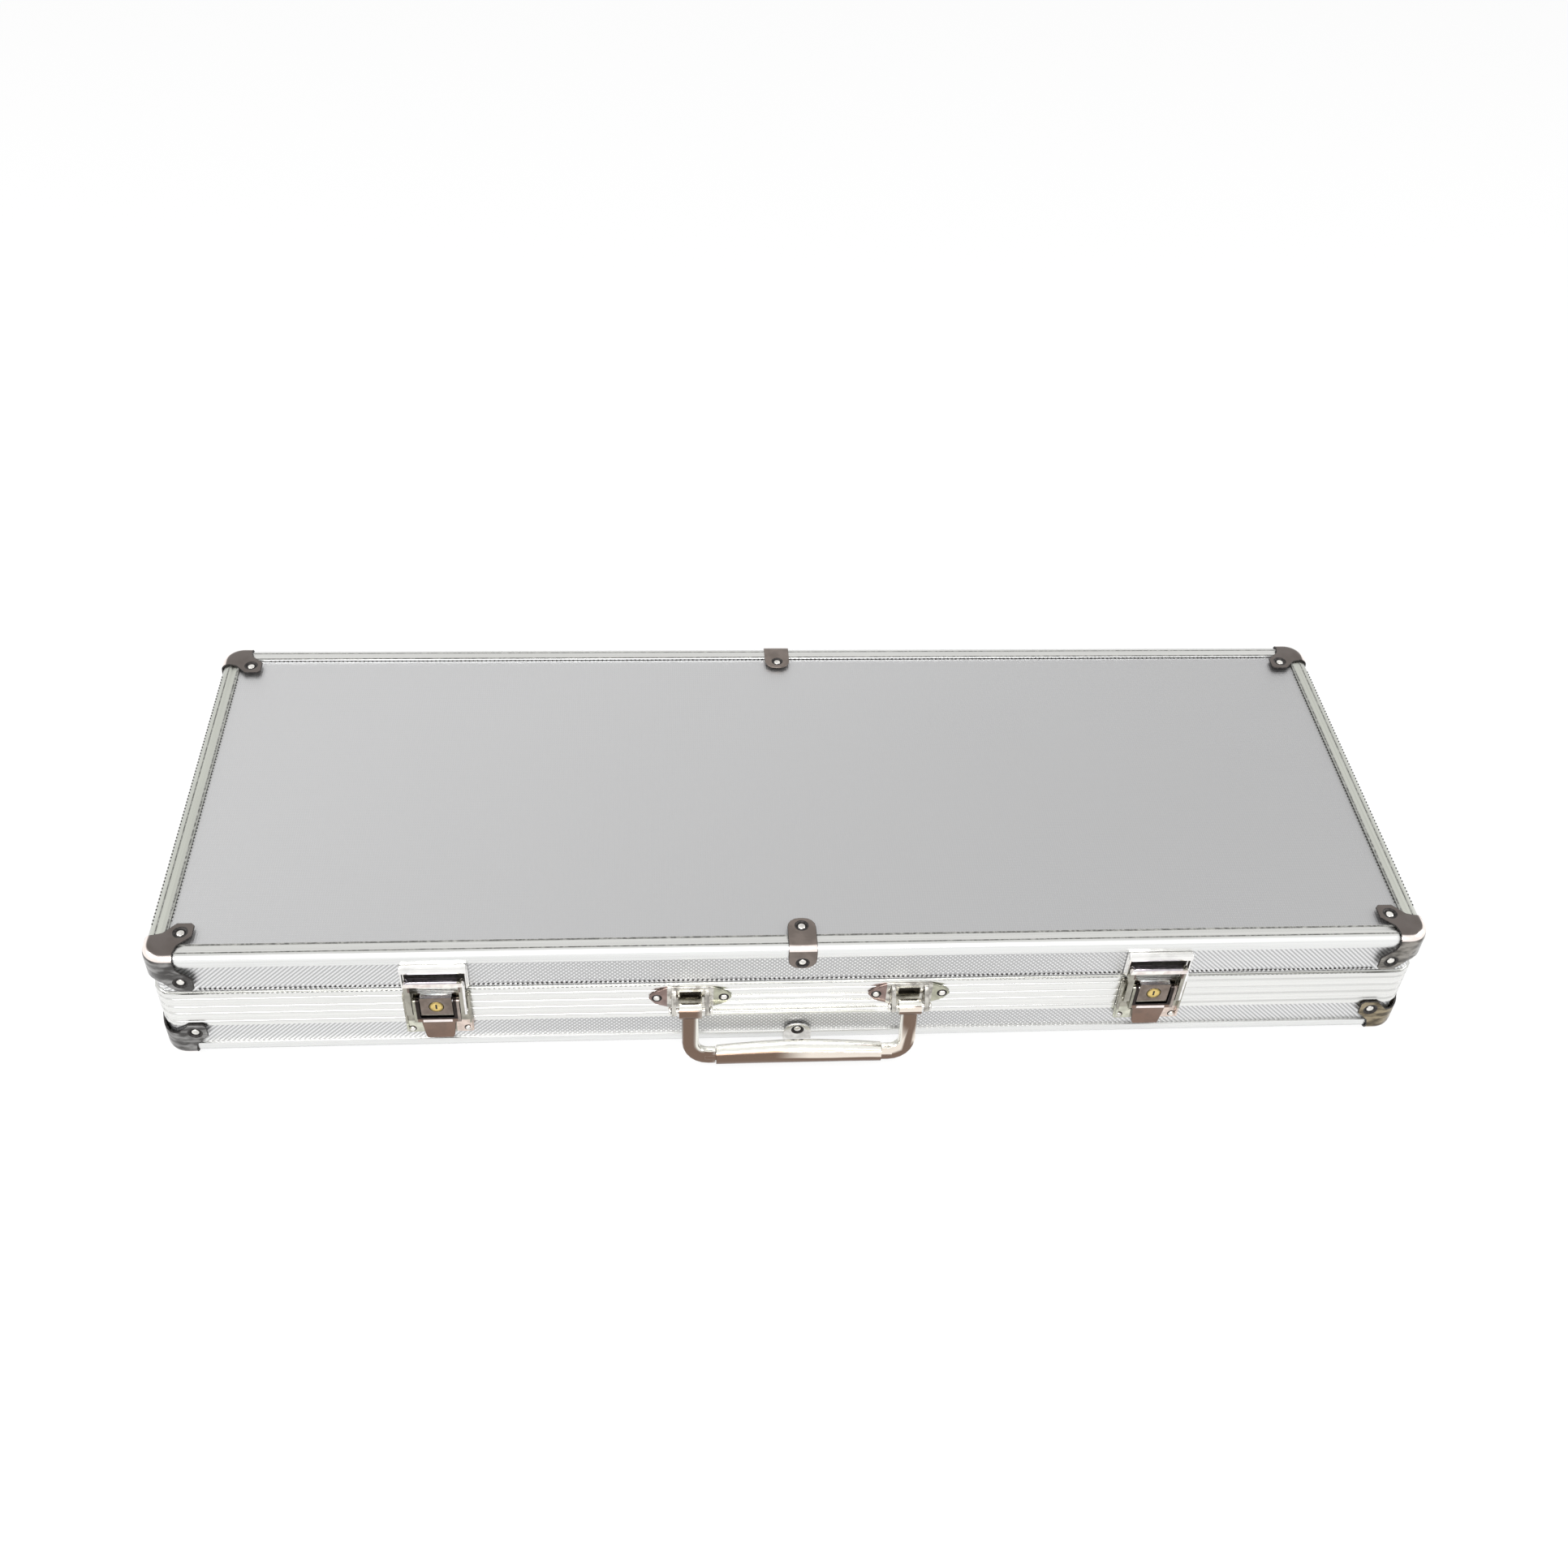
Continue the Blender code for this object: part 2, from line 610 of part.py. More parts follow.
def is_clip_tip(edge):
    """Whether an edge is a short one through the strip's thickness at one of its tips."""
    here, there = (vert.co for vert in edge.verts)
    level = abs(here.x - there.x) < FIT_GAP
    short = (here - there).length < PLATE_THICKNESS + FIT_GAP / 2
    heights = (above_floor(CLIP_DROP), below_top(CLIP_DROP))
    low = any(abs(here.z - height) < FIT_GAP and abs(there.z - height) < FIT_GAP for height in heights)
    inset = HALF_WIDTH - CLIP_TOP_REACH
    inner = abs(abs(here.y) - inset) < FIT_GAP and abs(abs(there.y) - inset) < FIT_GAP
    return level and short and (low or inner)


# Trays and pad

def tray_block(name, left, right, parent):
    """Moulded block between two places along the case, before its wells are cut."""
    outline = rounded_rectangle(left, -TRAY_HALF_WIDTH, right, TRAY_HALF_WIDTH, TRAY_CORNER_RADIUS)
    mesh = prism(outline, along_z, TRAY_BOTTOM, TRAY_TOP, name)
    return finished(add_object(name, mesh, parent), FLOCK)


def chip_tray(name, centre, parent):
    """Flocked tray with a row of half-round channels that each hold a stack of chips."""
    half = CHIP_TRAY_LENGTH / 2
    tray = tray_block(name, centre - half, centre + half, parent)
    channels = []
    for row in range(CHIP_ROWS):
        middle = centre + (row - (CHIP_ROWS - 1) / 2) * CHIP_PITCH
        outline = circle((middle, CHIP_AXIS_HEIGHT), CHIP_CHANNEL_RADIUS, 2 * ROUND_STEPS)
        cutter = prism(outline, along_y, -CHIP_ROW_LENGTH / 2, CHIP_ROW_LENGTH / 2)
        channels.append(hidden_tool(name + "_channel_" + str(row + 1), cutter, parent))
    combine(tray, channels, 'DIFFERENCE')
    return tray


def card_tray(parent):
    """Middle tray with wells for two decks, the dealer button and a row of dice."""
    half = TRAY_HALF_LENGTH - CHIP_TRAY_LENGTH - FIT_GAP
    tray = tray_block("card_tray", -half, half, parent)
    columns_gap = (2 * half - CARD_WELL_WIDTH - BUTTON_WELL_DIAMETER) / 3
    deck_left = -half + columns_gap
    side_middle = half - columns_gap - BUTTON_WELL_DIAMETER / 2
    rows_gap = (2 * TRAY_HALF_WIDTH - 2 * CARD_WELL_LENGTH) / 3
    top = TRAY_TOP + CUT_OVERRUN
    tools = []
    for row, sign in (("front", -1), ("back", 1)):
        low = -CARD_WELL_LENGTH - rows_gap / 2 if sign < 0 else rows_gap / 2
        well = box((deck_left, low, TRAY_TOP - CARD_WELL_DEPTH),
                   (deck_left + CARD_WELL_WIDTH, low + CARD_WELL_LENGTH, top))
        tools.append(hidden_tool("deck_well_" + row, well, parent))
    side_gap = (2 * TRAY_HALF_WIDTH - BUTTON_WELL_DIAMETER - DICE_SLOT_LENGTH) / 3
    button_y = -TRAY_HALF_WIDTH + side_gap + BUTTON_WELL_DIAMETER / 2
    dice_low = TRAY_HALF_WIDTH - side_gap - DICE_SLOT_LENGTH
    button = prism(circle((side_middle, button_y), BUTTON_WELL_DIAMETER / 2, 2 * ROUND_STEPS), along_z,
                   TRAY_TOP - BUTTON_WELL_DEPTH, top)
    tools.append(hidden_tool("button_well", button, parent))
    dice = box((side_middle - DICE_SLOT_WIDTH / 2, dice_low, TRAY_TOP - DICE_SLOT_DEPTH),
               (side_middle + DICE_SLOT_WIDTH / 2, dice_low + DICE_SLOT_LENGTH, top))
    tools.append(hidden_tool("dice_slot", dice, parent))
    combine(tray, tools, 'DIFFERENCE')
    return tray


def lid_pad(parent):
    """Foam pad that keeps the chips in their channels."""
    half_x = HALF_LENGTH - PAD_INSET
    half_y = HALF_WIDTH - PAD_INSET
    rings = []
    for inset, height in ((PAD_EDGE_RADIUS, PAD_BOTTOM), (0, PAD_BOTTOM + PAD_EDGE_RADIUS), (0, PAD_TOP)):
        outline = rounded_rectangle(-half_x + inset, -half_y + inset, half_x - inset, half_y - inset,
                                    CORNER_RADIUS - inset)
        rings.append([(x, y, height) for x, y in outline])
    return finished(add_object("lid_foam_pad", loft(rings, name="lid_foam_pad"), parent), FOAM)


# Hinges

def curl(direction):
    """Outline of a leaf's rolled eye in (out, height) from the axis; direction 1 rolls over the top."""
    start = pi
    sweep_angle = -direction * HINGE_CURL_ANGLE
    outer = arc((0, 0), HINGE_OUTER_RADIUS, start, sweep_angle, HINGE_CURL_STEPS)
    inner = arc((0, 0), HINGE_CURL_RADIUS, start, sweep_angle, HINGE_CURL_STEPS)
    return outer, inner


def hinge_leaf(name, centre, direction, plate_end, joggled, eyes, parent):
    """Leaf with its rolled eyes: direction 1 is the base leaf, -1 the lid leaf."""
    outer, inner = curl(direction)
    wall_side = FIT_GAP - HINGE_AXIS_OUT
    plate = [(wall_side, -direction * plate_end), (wall_side + HINGE_LEAF_THICKNESS, -direction * plate_end)]
    if joggled:
        shift = BOARD_OUTER
        plate = [(wall_side, HINGE_JOGGLE_START), (wall_side - shift, HINGE_JOGGLE_END),
                 (wall_side - shift, plate_end), (wall_side - shift + HINGE_LEAF_THICKNESS, plate_end),
                 (wall_side - shift + HINGE_LEAF_THICKNESS, HINGE_JOGGLE_END),
                 (wall_side + HINGE_LEAF_THICKNESS, HINGE_JOGGLE_START)]
    outline = plate + inner + outer[::-1]
    axis_y = back(HINGE_AXIS_OUT)
    outline = [(axis_y + out, SEAM_HEIGHT + height) for out, height in outline]
    half = HINGE_LENGTH / 2
    mesh = prism(outline, along_x, centre - half, centre + half, name)
    leaf = finished(add_object(name, mesh, parent), STEEL)
    clear = HINGE_OUTER_RADIUS + HINGE_KNUCKLE_GAP
    tools = []
    for number, (low, high) in enumerate(eyes):
        cutter = box((centre + low, axis_y - clear, SEAM_HEIGHT - clear),
                     (centre + high, axis_y + clear, SEAM_HEIGHT + clear))
        tools.append(hidden_tool(name + "_gap_" + str(number + 1), cutter, parent))
    combine(leaf, tools, 'DIFFERENCE')
    return leaf


def hinge(name, centre, base, lid):
    """One butt hinge: two leaves and a pin."""
    middle_half = HINGE_LENGTH / HINGE_KNUCKLES / 2
    gap = HINGE_KNUCKLE_GAP / 2
    end = HINGE_LENGTH / 2 + CUT_OVERRUN
    hinge_leaf("base_hinge_leaf_" + name, centre, 1, HINGE_LEAF_DROP, False,
               [(-middle_half - gap, middle_half + gap)], base)
    hinge_leaf("lid_hinge_leaf_" + name, centre, -1, HINGE_LEAF_RISE, True,
               [(-end, -middle_half + gap), (middle_half - gap, end)], lid)
    half = HINGE_LENGTH / 2 + HINGE_PIN_OVERHANG
    outline = circle((back(HINGE_AXIS_OUT), SEAM_HEIGHT), HINGE_PIN_DIAMETER / 2)
    mesh = prism(outline, along_x, centre - half, centre + half)
    finished(add_object("hinge_pin_" + name, mesh, base), STEEL)


# Draw latches

def latch_base(name, parent):
    """Base plate with side rails, rivet feet, the lock block and the lever's pivot stubs."""
    half = LATCH_WIDTH / 2
    plate_out = FIT_GAP + LATCH_PLATE
    corner = LATCH_BOSS_DIAMETER / 2
    outline = rounded_rectangle(-half, LATCH_BASE_BOTTOM, half, BASE_TOP - FIT_GAP, corner / 2)
    plate = prism(outline, along_y, front(plate_out), front(FIT_GAP), name)
    base = finished(add_object(name, plate, parent), CHROME)
    sink = LATCH_PLATE / 2
    joined = []
    for label, sign in (("left", -1), ("right", 1)):
        outer = sign * (half - LATCH_RAIL_WIDTH * LATCH_INSET_SHARE)
        inner = sign * (half - LATCH_RAIL_WIDTH)
        rail = box((min(outer, inner), front(LATCH_RAIL_OUT), LATCH_BASE_BOTTOM + corner),
                   (max(outer, inner), front(plate_out - sink), BASE_TOP - 2 * FIT_GAP))
        joined.append(hidden_tool(name + "_rail_" + label, rail, parent))
        foot_x = sign * (half - corner)
        foot = prism(circle((foot_x, LATCH_BASE_BOTTOM + corner), corner - FIT_GAP), along_y,
                     front(-BOARD_OUTER + FIT_GAP), front(FIT_GAP + sink / 2))
        joined.append(hidden_tool(name + "_foot_" + label, foot, parent))
        stub_start = sign * (LOCK_BLOCK_WIDTH / 2 - sink)
        stub_end = sign * (LEVER_OUTER - FIT_GAP)
        stub = prism(circle((front(LATCH_PIVOT_OUT), LATCH_PIVOT_HEIGHT), LATCH_PIN_DIAMETER / 2), along_x,
                     min(stub_start, stub_end), max(stub_start, stub_end))
        joined.append(hidden_tool(name + "_stub_" + label, stub, parent))
    block_half = LOCK_BLOCK_WIDTH / 2
    block_outline = rounded_rectangle(-block_half, LOCK_BLOCK_BOTTOM, block_half,
                                      LOCK_BLOCK_TOP, LOCK_BLOCK_BEVEL)
    block = prism(block_outline, along_y, front(LOCK_BLOCK_OUT), front(plate_out - sink))
    joined.append(hidden_tool(name + "_block", block, parent))
    combine(base, joined, 'UNION')
    bore = prism(circle((0, LOCK_HEIGHT), LOCK_DIAMETER / 2 + FIT_GAP), along_y,
                 front(LOCK_BLOCK_OUT - LOCK_DEPTH), front(LOCK_BLOCK_OUT + CUT_OVERRUN))
    combine(base, (hidden_tool(name + "_bore", bore, parent),), 'DIFFERENCE')
    return base


def lock_barrel(name, parent):
    """Brass barrel that the key turns, with its key slot."""
    outer = -LOCK_PROUD
    inner = LOCK_DEPTH - FIT_GAP
    barrel = prism(circle((0, 0), LOCK_DIAMETER / 2), along_y, outer, inner, name)
    piece = finished(add_object(name, barrel, parent), BRASS)
    slot = box((-KEY_SLOT_WIDTH / 2, outer - CUT_OVERRUN, -KEY_SLOT_LENGTH / 2),
               (KEY_SLOT_WIDTH / 2, outer + KEY_SLOT_DEPTH, KEY_SLOT_LENGTH / 2))
    combine(piece, (hidden_tool(name + "_key_slot", slot, parent),), 'DIFFERENCE')
    return piece


def fork(outline, end_height, name):
    """Two-armed plate from an XZ outline, its arms' ends at a height rounded about the pin."""
    radius = LEVER_ARM_RADIUS
    bm = bmesh.new()
    bm.from_mesh(prism(outline, along_y, -radius, radius))
    tips = [edge for edge in bm.edges
            if all(abs(vert.co.z - end_height) < FIT_GAP / 2 for vert in edge.verts)
            and abs(edge.verts[0].co.y - edge.verts[1].co.y) < FIT_GAP]
    bmesh.ops.bevel(bm, geom=tips, offset=radius * FORK_ROUND_SHARE, segments=ARC_STEPS,
                    profile=ROUND_PROFILE_SHARE, affect='EDGES')
    return mesh_from(bm, name)


def latch_lever(name, parent):
    """Lever in its pivot's frame: two arms, a bar, a finger tab and the claw's stubs."""
    bar_top = LEVER_BAR_TOP - LATCH_PIVOT_HEIGHT
    bar_low = bar_top - LEVER_BAR_HEIGHT
    radius = LEVER_ARM_RADIUS
    outline = [(-LEVER_OUTER, radius), (-LEVER_OUTER, bar_low), (LEVER_OUTER, bar_low), (LEVER_OUTER, radius),
               (LEVER_INNER, radius), (LEVER_INNER, bar_top), (-LEVER_INNER, bar_top), (-LEVER_INNER, radius)]
    lever = finished(add_object(name, fork(outline, radius, name), parent), CHROME)
    joined = []
    for label, sign in (("left", -1), ("right", 1)):
        stub_start = sign * (LEVER_OUTER - LEVER_ARM_WIDTH / 2)
        stub_end = sign * (CLAW_OUTER - FIT_GAP)
        stub = prism(circle((0, -CLAW_PIN_DROP), LATCH_PIN_DIAMETER / 2), along_x,
                     min(stub_start, stub_end), max(stub_start, stub_end))
        joined.append(hidden_tool(name + "_claw_stub_" + label, stub, parent))
    tab_low = LEVER_TAB_BOTTOM - LATCH_PIVOT_HEIGHT
    tip_out = LATCH_PIVOT_OUT - LEVER_TAB_TIP_OUT
    half = LEVER_TAB_WIDTH / 2
    tip_half = LEVER_TAB_TIP_WIDTH / 2
    thin = LEVER_TAB_THICKNESS / 2
    flare = (half - tip_half) * LEVER_TAB_FLARE_SHARE
    stations = ((bar_low + LEVER_BAR_HEIGHT / 2, 0, half),
                (bar_low - LEVER_BAR_HEIGHT, tip_out / 2, half),
                (tab_low + LEVER_BAR_HEIGHT / 2, tip_out, tip_half + flare),
                (tab_low, tip_out - thin, tip_half))
    rings = []
    for height, out, width in stations:
        section = rectangle(-width, out - thin, width, out + thin)
        rings.append([(x, y, height) for x, y in section])
    joined.append(hidden_tool(name + "_tab", loft(rings), parent))
    combine(lever, joined, 'UNION')
    bore = prism(circle((0, 0), LATCH_PIN_DIAMETER / 2 + FIT_GAP), along_x,
                 -LEVER_OUTER - CUT_OVERRUN, LEVER_OUTER + CUT_OVERRUN)
    combine(lever, (hidden_tool(name + "_bore", bore, parent),), 'DIFFERENCE')
    return lever


def latch_claw(name, parent):
    """Draw loop in its pin's frame: two arms and the hooked top bar over the lid's keeper."""
    top = CLAW_TOP - CLAW_PIN_HEIGHT
    low = -LEVER_ARM_RADIUS
    bend = CLAW_CORNER_RADIUS
    outline = [(CLAW_OUTER, low)]
    outline += arc((CLAW_OUTER - bend, top - bend), bend, 0, QUARTER_TURN, ARC_STEPS)
    outline += arc((bend - CLAW_OUTER, top - bend), bend, QUARTER_TURN, QUARTER_TURN, ARC_STEPS)
    outline += [(-CLAW_OUTER, low), (-CLAW_INNER, low), (-CLAW_INNER, top - CLAW_BAR_HEIGHT),
                (CLAW_INNER, top - CLAW_BAR_HEIGHT), (CLAW_INNER, low)]
    claw = finished(add_object(name, fork(outline, low, name), parent), CHROME)
    bore = prism(circle((0, 0), LATCH_PIN_DIAMETER / 2 + FIT_GAP), along_x,
                 -CLAW_OUTER - CUT_OVERRUN, CLAW_OUTER + CUT_OVERRUN)
    combine(claw, (hidden_tool(name + "_bore", bore, parent),), 'DIFFERENCE')
    return claw


def keeper(name, parent):
    """Keeper on the lid: a plate with side rails, a top bar and the lip under the claw."""
    half = LATCH_WIDTH / 2
    wall = -BOARD_OUTER + FIT_GAP
    face = wall + LATCH_PLATE
    sink = LATCH_PLATE / 2
    outline = rounded_rectangle(-half, KEEPER_BOTTOM, half, KEEPER_TOP, LATCH_RAIL_WIDTH)
    plate = prism(outline, along_y, front(face), front(wall), name)
    piece = finished(add_object(name, plate, parent), CHROME)
    inset = LATCH_RAIL_WIDTH * LATCH_INSET_SHARE
    bar = prism(rounded_rectangle(-half + inset, KEEPER_TOP - KEEPER_BAR_HEIGHT, half - inset,
                                  KEEPER_TOP - inset, LATCH_RAIL_WIDTH / 2),
                along_y, front(KEEPER_BAR_OUT), front(face - sink))
    lip_half = KEEPER_LIP_WIDTH / 2
    lip = box((-lip_half, front(KEEPER_LIP_OUT), KEEPER_LIP_BOTTOM),
              (lip_half, front(face - sink), KEEPER_LIP_TOP))
    joined = [hidden_tool(name + "_bar", bar, parent), hidden_tool(name + "_lip", lip, parent)]
    for label, sign in (("left", -1), ("right", 1)):
        outer = sign * (half - 2 * inset)
        inner = sign * (half - LATCH_RAIL_WIDTH)
        rail = box((min(outer, inner), front(KEEPER_BAR_OUT - inset), KEEPER_BOTTOM + LATCH_RAIL_WIDTH),
                   (max(outer, inner), front(face - sink), KEEPER_TOP - KEEPER_BAR_HEIGHT / 2))
        joined.append(hidden_tool(name + "_rail_" + label, rail, parent))
    combine(piece, joined, 'UNION')
    return piece


def latch(side, centre, base, lid):
    """One keyed draw latch with its own joint empties."""
    place = add_empty("latch_place_" + side, (centre, 0, 0), base)
    latch_base("latch_base_" + side, place)
    keeper("latch_keeper_" + side, add_empty("keeper_place_" + side, (centre, 0, 0), lid))
    pivot = add_empty("latch_pivot_" + side, (0, front(LATCH_PIVOT_OUT), LATCH_PIVOT_HEIGHT), place)
    latch_lever("latch_lever_" + side, pivot)
    claw_pin = add_empty("claw_pivot_" + side, (0, 0, -CLAW_PIN_DROP), pivot)
    latch_claw("latch_claw_" + side, claw_pin)
    lock_axis = add_empty("lock_axis_" + side, (0, front(LOCK_BLOCK_OUT), LOCK_HEIGHT), place)
    lock_barrel("lock_barrel_" + side, lock_axis)


# Carrying handle

def handle_bracket(name, centre, parent):
    """Riveted bracket: a winged plate with two ears that carry the handle's pin."""
    half = BRACKET_LENGTH / 2
    tall = BRACKET_HEIGHT / 2
    wing = half * BRACKET_WING_SHARE
    middle = half * BRACKET_CENTRE_SHARE
    wing_tall = tall * BRACKET_WING_HEIGHT_SHARE
    outline = [(-half, 0), (-wing, -wing_tall), (-middle, -tall), (middle, -tall), (wing, -wing_tall),
               (half, 0), (wing, wing_tall), (middle, tall), (-middle, tall), (-wing, wing_tall)]
    outline = [(centre + x, BRACKET_MIDDLE + z) for x, z in outline]
    face = FIT_GAP + BRACKET_PLATE
    plate = prism(outline, along_y, front(face), front(FIT_GAP), name)
    bracket = finished(add_object(name, plate, parent), CHROME)
    root = face - BRACKET_PLATE / 2
    top = BRACKET_TOP - FIT_GAP
    low = BRACKET_TOP - BRACKET_HEIGHT + FIT_GAP
    round_ear = arc((HANDLE_PIVOT_OUT, HANDLE_PIVOT_HEIGHT), EAR_RADIUS, QUARTER_TURN / 2,
                    -EAR_ROUND_ANGLE, ROUND_STEPS // 2)
    profile = [(root, low), (root, top), (face + EAR_RADIUS / 2, top)] + round_ear
    profile = [(front(out), height) for out, height in profile]
    joined = []
    for label, sign in (("left", -1), ("right", 1)):
        middle_x = centre + sign * EAR_SPACING / 2
        ear = prism(profile, along_x, middle_x - EAR_THICKNESS / 2, middle_x + EAR_THICKNESS / 2)
        joined.append(hidden_tool(name + "_ear_" + label, ear, parent))
    combine(bracket, joined, 'UNION')
    span = EAR_SPACING / 2 + EAR_THICKNESS
    bore = prism(circle((front(HANDLE_PIVOT_OUT), HANDLE_PIVOT_HEIGHT), HANDLE_PIN_DIAMETER / 2 + FIT_GAP),
                 along_x, centre - span, centre + span)
    combine(bracket, (hidden_tool(name + "_bore", bore, parent),), 'DIFFERENCE')
    return bracket


def handle_pin(name, centre, parent):
    """Pin with a small head outside each ear."""
    reach = EAR_SPACING / 2 + EAR_THICKNESS / 2 + FIT_GAP
    end = reach + HANDLE_PIN_HEAD_LENGTH
    axis = (front(HANDLE_PIVOT_OUT), HANDLE_PIVOT_HEIGHT)
    thin = HANDLE_PIN_DIAMETER / 2
    wide = HANDLE_PIN_HEAD_DIAMETER / 2
    rings = []
    for place, radius in ((-end, thin), (-end + HANDLE_PIN_HEAD_LENGTH / 2, wide), (-reach, wide),
                          (-reach, thin), (reach, thin), (reach, wide),
                          (end - HANDLE_PIN_HEAD_LENGTH / 2, wide), (end, thin)):
        rings.append([(centre + place, y, z) for y, z in circle(axis, radius)])
    return finished(add_object(name, loft(rings, name=name), parent), CHROME)


def arm_section(half_wide, half_thick):
    """Section of a handle arm: a flat bar with rounded edges."""
    radius = half_thick * HANDLE_EDGE_SHARE
    return rounded_rectangle(-half_wide, -half_thick, half_wide, half_thick, radius, ARC_STEPS // 2)


def handle_arm(name, sign, parent):
    """Arm in the pivot's frame: eyed head, bar bent inwards and the spigot for the grip."""
    bar_top = -HANDLE_HEAD_DIAMETER * HANDLE_HEAD_REACH_SHARE
    path = [((0, bar_top), 0), ((0, HANDLE_BEND_RADIUS - HANDLE_DROP), 0)]
    centre = (-HANDLE_BEND_RADIUS, HANDLE_BEND_RADIUS - HANDLE_DROP)
    bend_steps = ARC_STEPS + 2
    for step in range(1, bend_steps + 1):
        turn = QUARTER_TURN * step / bend_steps
        point = (centre[0] + HANDLE_BEND_RADIUS * cos(turn), centre[1] - HANDLE_BEND_RADIUS * sin(turn))
        path.append((point, turn))
    path.append(((-HANDLE_ARM_INSET + FIT_GAP, -HANDLE_DROP), QUARTER_TURN))
    rings = []
    for (x, z), turn in path:
        ring = []
        for wide, thick in arm_section(HANDLE_ARM_WIDTH / 2, HANDLE_ARM_THICKNESS / 2):
            ring.append((sign * (HANDLE_HALF + x + wide * cos(turn)), thick, z - wide * sin(turn)))
        rings.append(ring)
    arm = finished(add_object(name, loft(rings, name=name), parent), CHROME)
    middle = sign * HANDLE_HALF
    head_half = HANDLE_HEAD_WIDTH / 2
    head = prism(circle((0, 0), HANDLE_HEAD_DIAMETER / 2), along_x, middle - head_half, middle + head_half)
    spigot_ends = (sign * (GRIP_HALF + SPIGOT_LENGTH), sign * (GRIP_HALF - SPIGOT_LENGTH))
    spigot = prism(circle((0, -HANDLE_DROP), SPIGOT_DIAMETER / 2), along_x,
                   min(spigot_ends), max(spigot_ends))
    combine(arm, (hidden_tool(name + "_head", head, parent), hidden_tool(name + "_spigot", spigot, parent)),
            'UNION')
    bore = prism(circle((0, 0), HANDLE_PIN_DIAMETER / 2 + FIT_GAP), along_x,
                 middle - head_half - CUT_OVERRUN, middle + head_half + CUT_OVERRUN)
    combine(arm, (hidden_tool(name + "_bore", bore, parent),), 'DIFFERENCE')
    return arm


def grip_ring(share):
    """Ring of the grip at a share of its half length, in the pivot's frame."""
    swell = cos(share * QUARTER_TURN)
    tall = GRIP_END_HALF_HEIGHT + (GRIP_MIDDLE_HALF_HEIGHT - GRIP_END_HALF_HEIGHT) * swell
    deep = GRIP_END_HALF_DEPTH + (GRIP_MIDDLE_HALF_DEPTH - GRIP_END_HALF_DEPTH) * swell
    lift = GRIP_ARCH * swell
    return [(share * GRIP_HALF, deep * sin(angle), lift - HANDLE_DROP + tall * cos(angle))
            for angle in (2 * pi * side / GRIP_SIDES for side in range(GRIP_SIDES))]


def grip_rings():
    """Rings of the whole grip, from its left end to its right end."""
    return [grip_ring(2 * station / (GRIP_STATIONS - 1) - 1) for station in range(GRIP_STATIONS)]


def handle_grip(parent):
    """Arched grip that swells towards its middle, socketed on the arms' spigots."""
    rings = grip_rings()
    grip = finished(add_object("handle_grip", loft(rings, name="handle_grip"), parent), CHROME)
    sockets = []
    for label, sign in (("left", -1), ("right", 1)):
        depth = GRIP_HALF - SPIGOT_LENGTH - FIT_GAP
        ends = (sign * depth, sign * (GRIP_HALF + CUT_OVERRUN))
        socket = prism(circle((0, -HANDLE_DROP), SPIGOT_DIAMETER / 2 + FIT_GAP), along_x,
                       min(ends), max(ends))
        sockets.append(hidden_tool("grip_socket_" + label, socket, parent))
    combine(grip, sockets, 'DIFFERENCE')
    return grip


def carrying_handle(base):
    """Brackets and pins on the base, and the handle leaning on the table."""
    for side, sign in (("left", -1), ("right", 1)):
        handle_bracket("handle_bracket_" + side, sign * HANDLE_HALF, base)
        handle_pin("handle_pin_" + side, sign * HANDLE_HALF, base)
    pivot = add_empty("handle_pivot", (0, front(HANDLE_PIVOT_OUT), HANDLE_PIVOT_HEIGHT), base)
    pivot.rotation_euler.x = -HANDLE_LEAN
    for side, sign in (("left", -1), ("right", 1)):
        handle_arm("handle_arm_" + side, sign, pivot)
    handle_grip(pivot)


# The whole case

def handle_reach():
    """How far the leaning handle stands out from the body's front face."""
    return HANDLE_PIVOT_OUT + max(-z * sin(HANDLE_LEAN) - y * cos(HANDLE_LEAN)
                                  for ring in grip_rings() for _, y, z in ring)


def build_case():
    """Build every piece about an origin under the middle of the whole outline."""
    clear_scene()
    hinge_reach = HINGE_AXIS_OUT + HINGE_OUTER_RADIUS
    base = add_empty("case_origin", (0, (handle_reach() - hinge_reach) / 2, 0))
    hinge_axis = add_empty("lid_hinge_axis", (0, back(HINGE_AXIS_OUT), SEAM_HEIGHT), base)
    lid = add_empty("lid_frame", (0, -back(HINGE_AXIS_OUT), -SEAM_HEIGHT), hinge_axis)
    bpy.context.view_layer.update()
    shell_boards(base, lid)
    shell_profiles(base, lid)
    base_rim(base)
    lid_rim(lid)
    pattern_place = add_empty("plate_pattern_place", (0, 0, 0))
    corner_plates(base, lid, corner_plate_mesh(pattern_place))
    for place, sign in (("front", -1), ("back", 1)):
        edge_clip("base_clip_" + place, sign, above_floor, base)
        edge_clip("lid_clip_" + place, sign, below_top, lid)
    tray_middle = TRAY_HALF_LENGTH - CHIP_TRAY_LENGTH / 2
    chip_tray("chip_tray_left", -tray_middle, base)
    chip_tray("chip_tray_right", tray_middle, base)
    card_tray(base)
    lid_pad(lid)
    for side, sign in (("left", -1), ("right", 1)):
        hinge(side, sign * HINGE_SPACING / 2, base, lid)
        latch(side, sign * LATCH_SPACING / 2, base, lid)
    carrying_handle(base)
    bpy.context.view_layer.update()


build_case()
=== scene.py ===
"""Looks of an aluminium poker chip case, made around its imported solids.

Lengths are in metres. The case stands on the XY plane with its handle towards -Y. Each
class makes and dresses one sub-assembly, and each finish builds one procedural material.
"""

import logging
from dataclasses import dataclass
from enum import Enum
from math import cos, pi, radians, sin

import bmesh
import bpy
from mathutils import Matrix, Vector


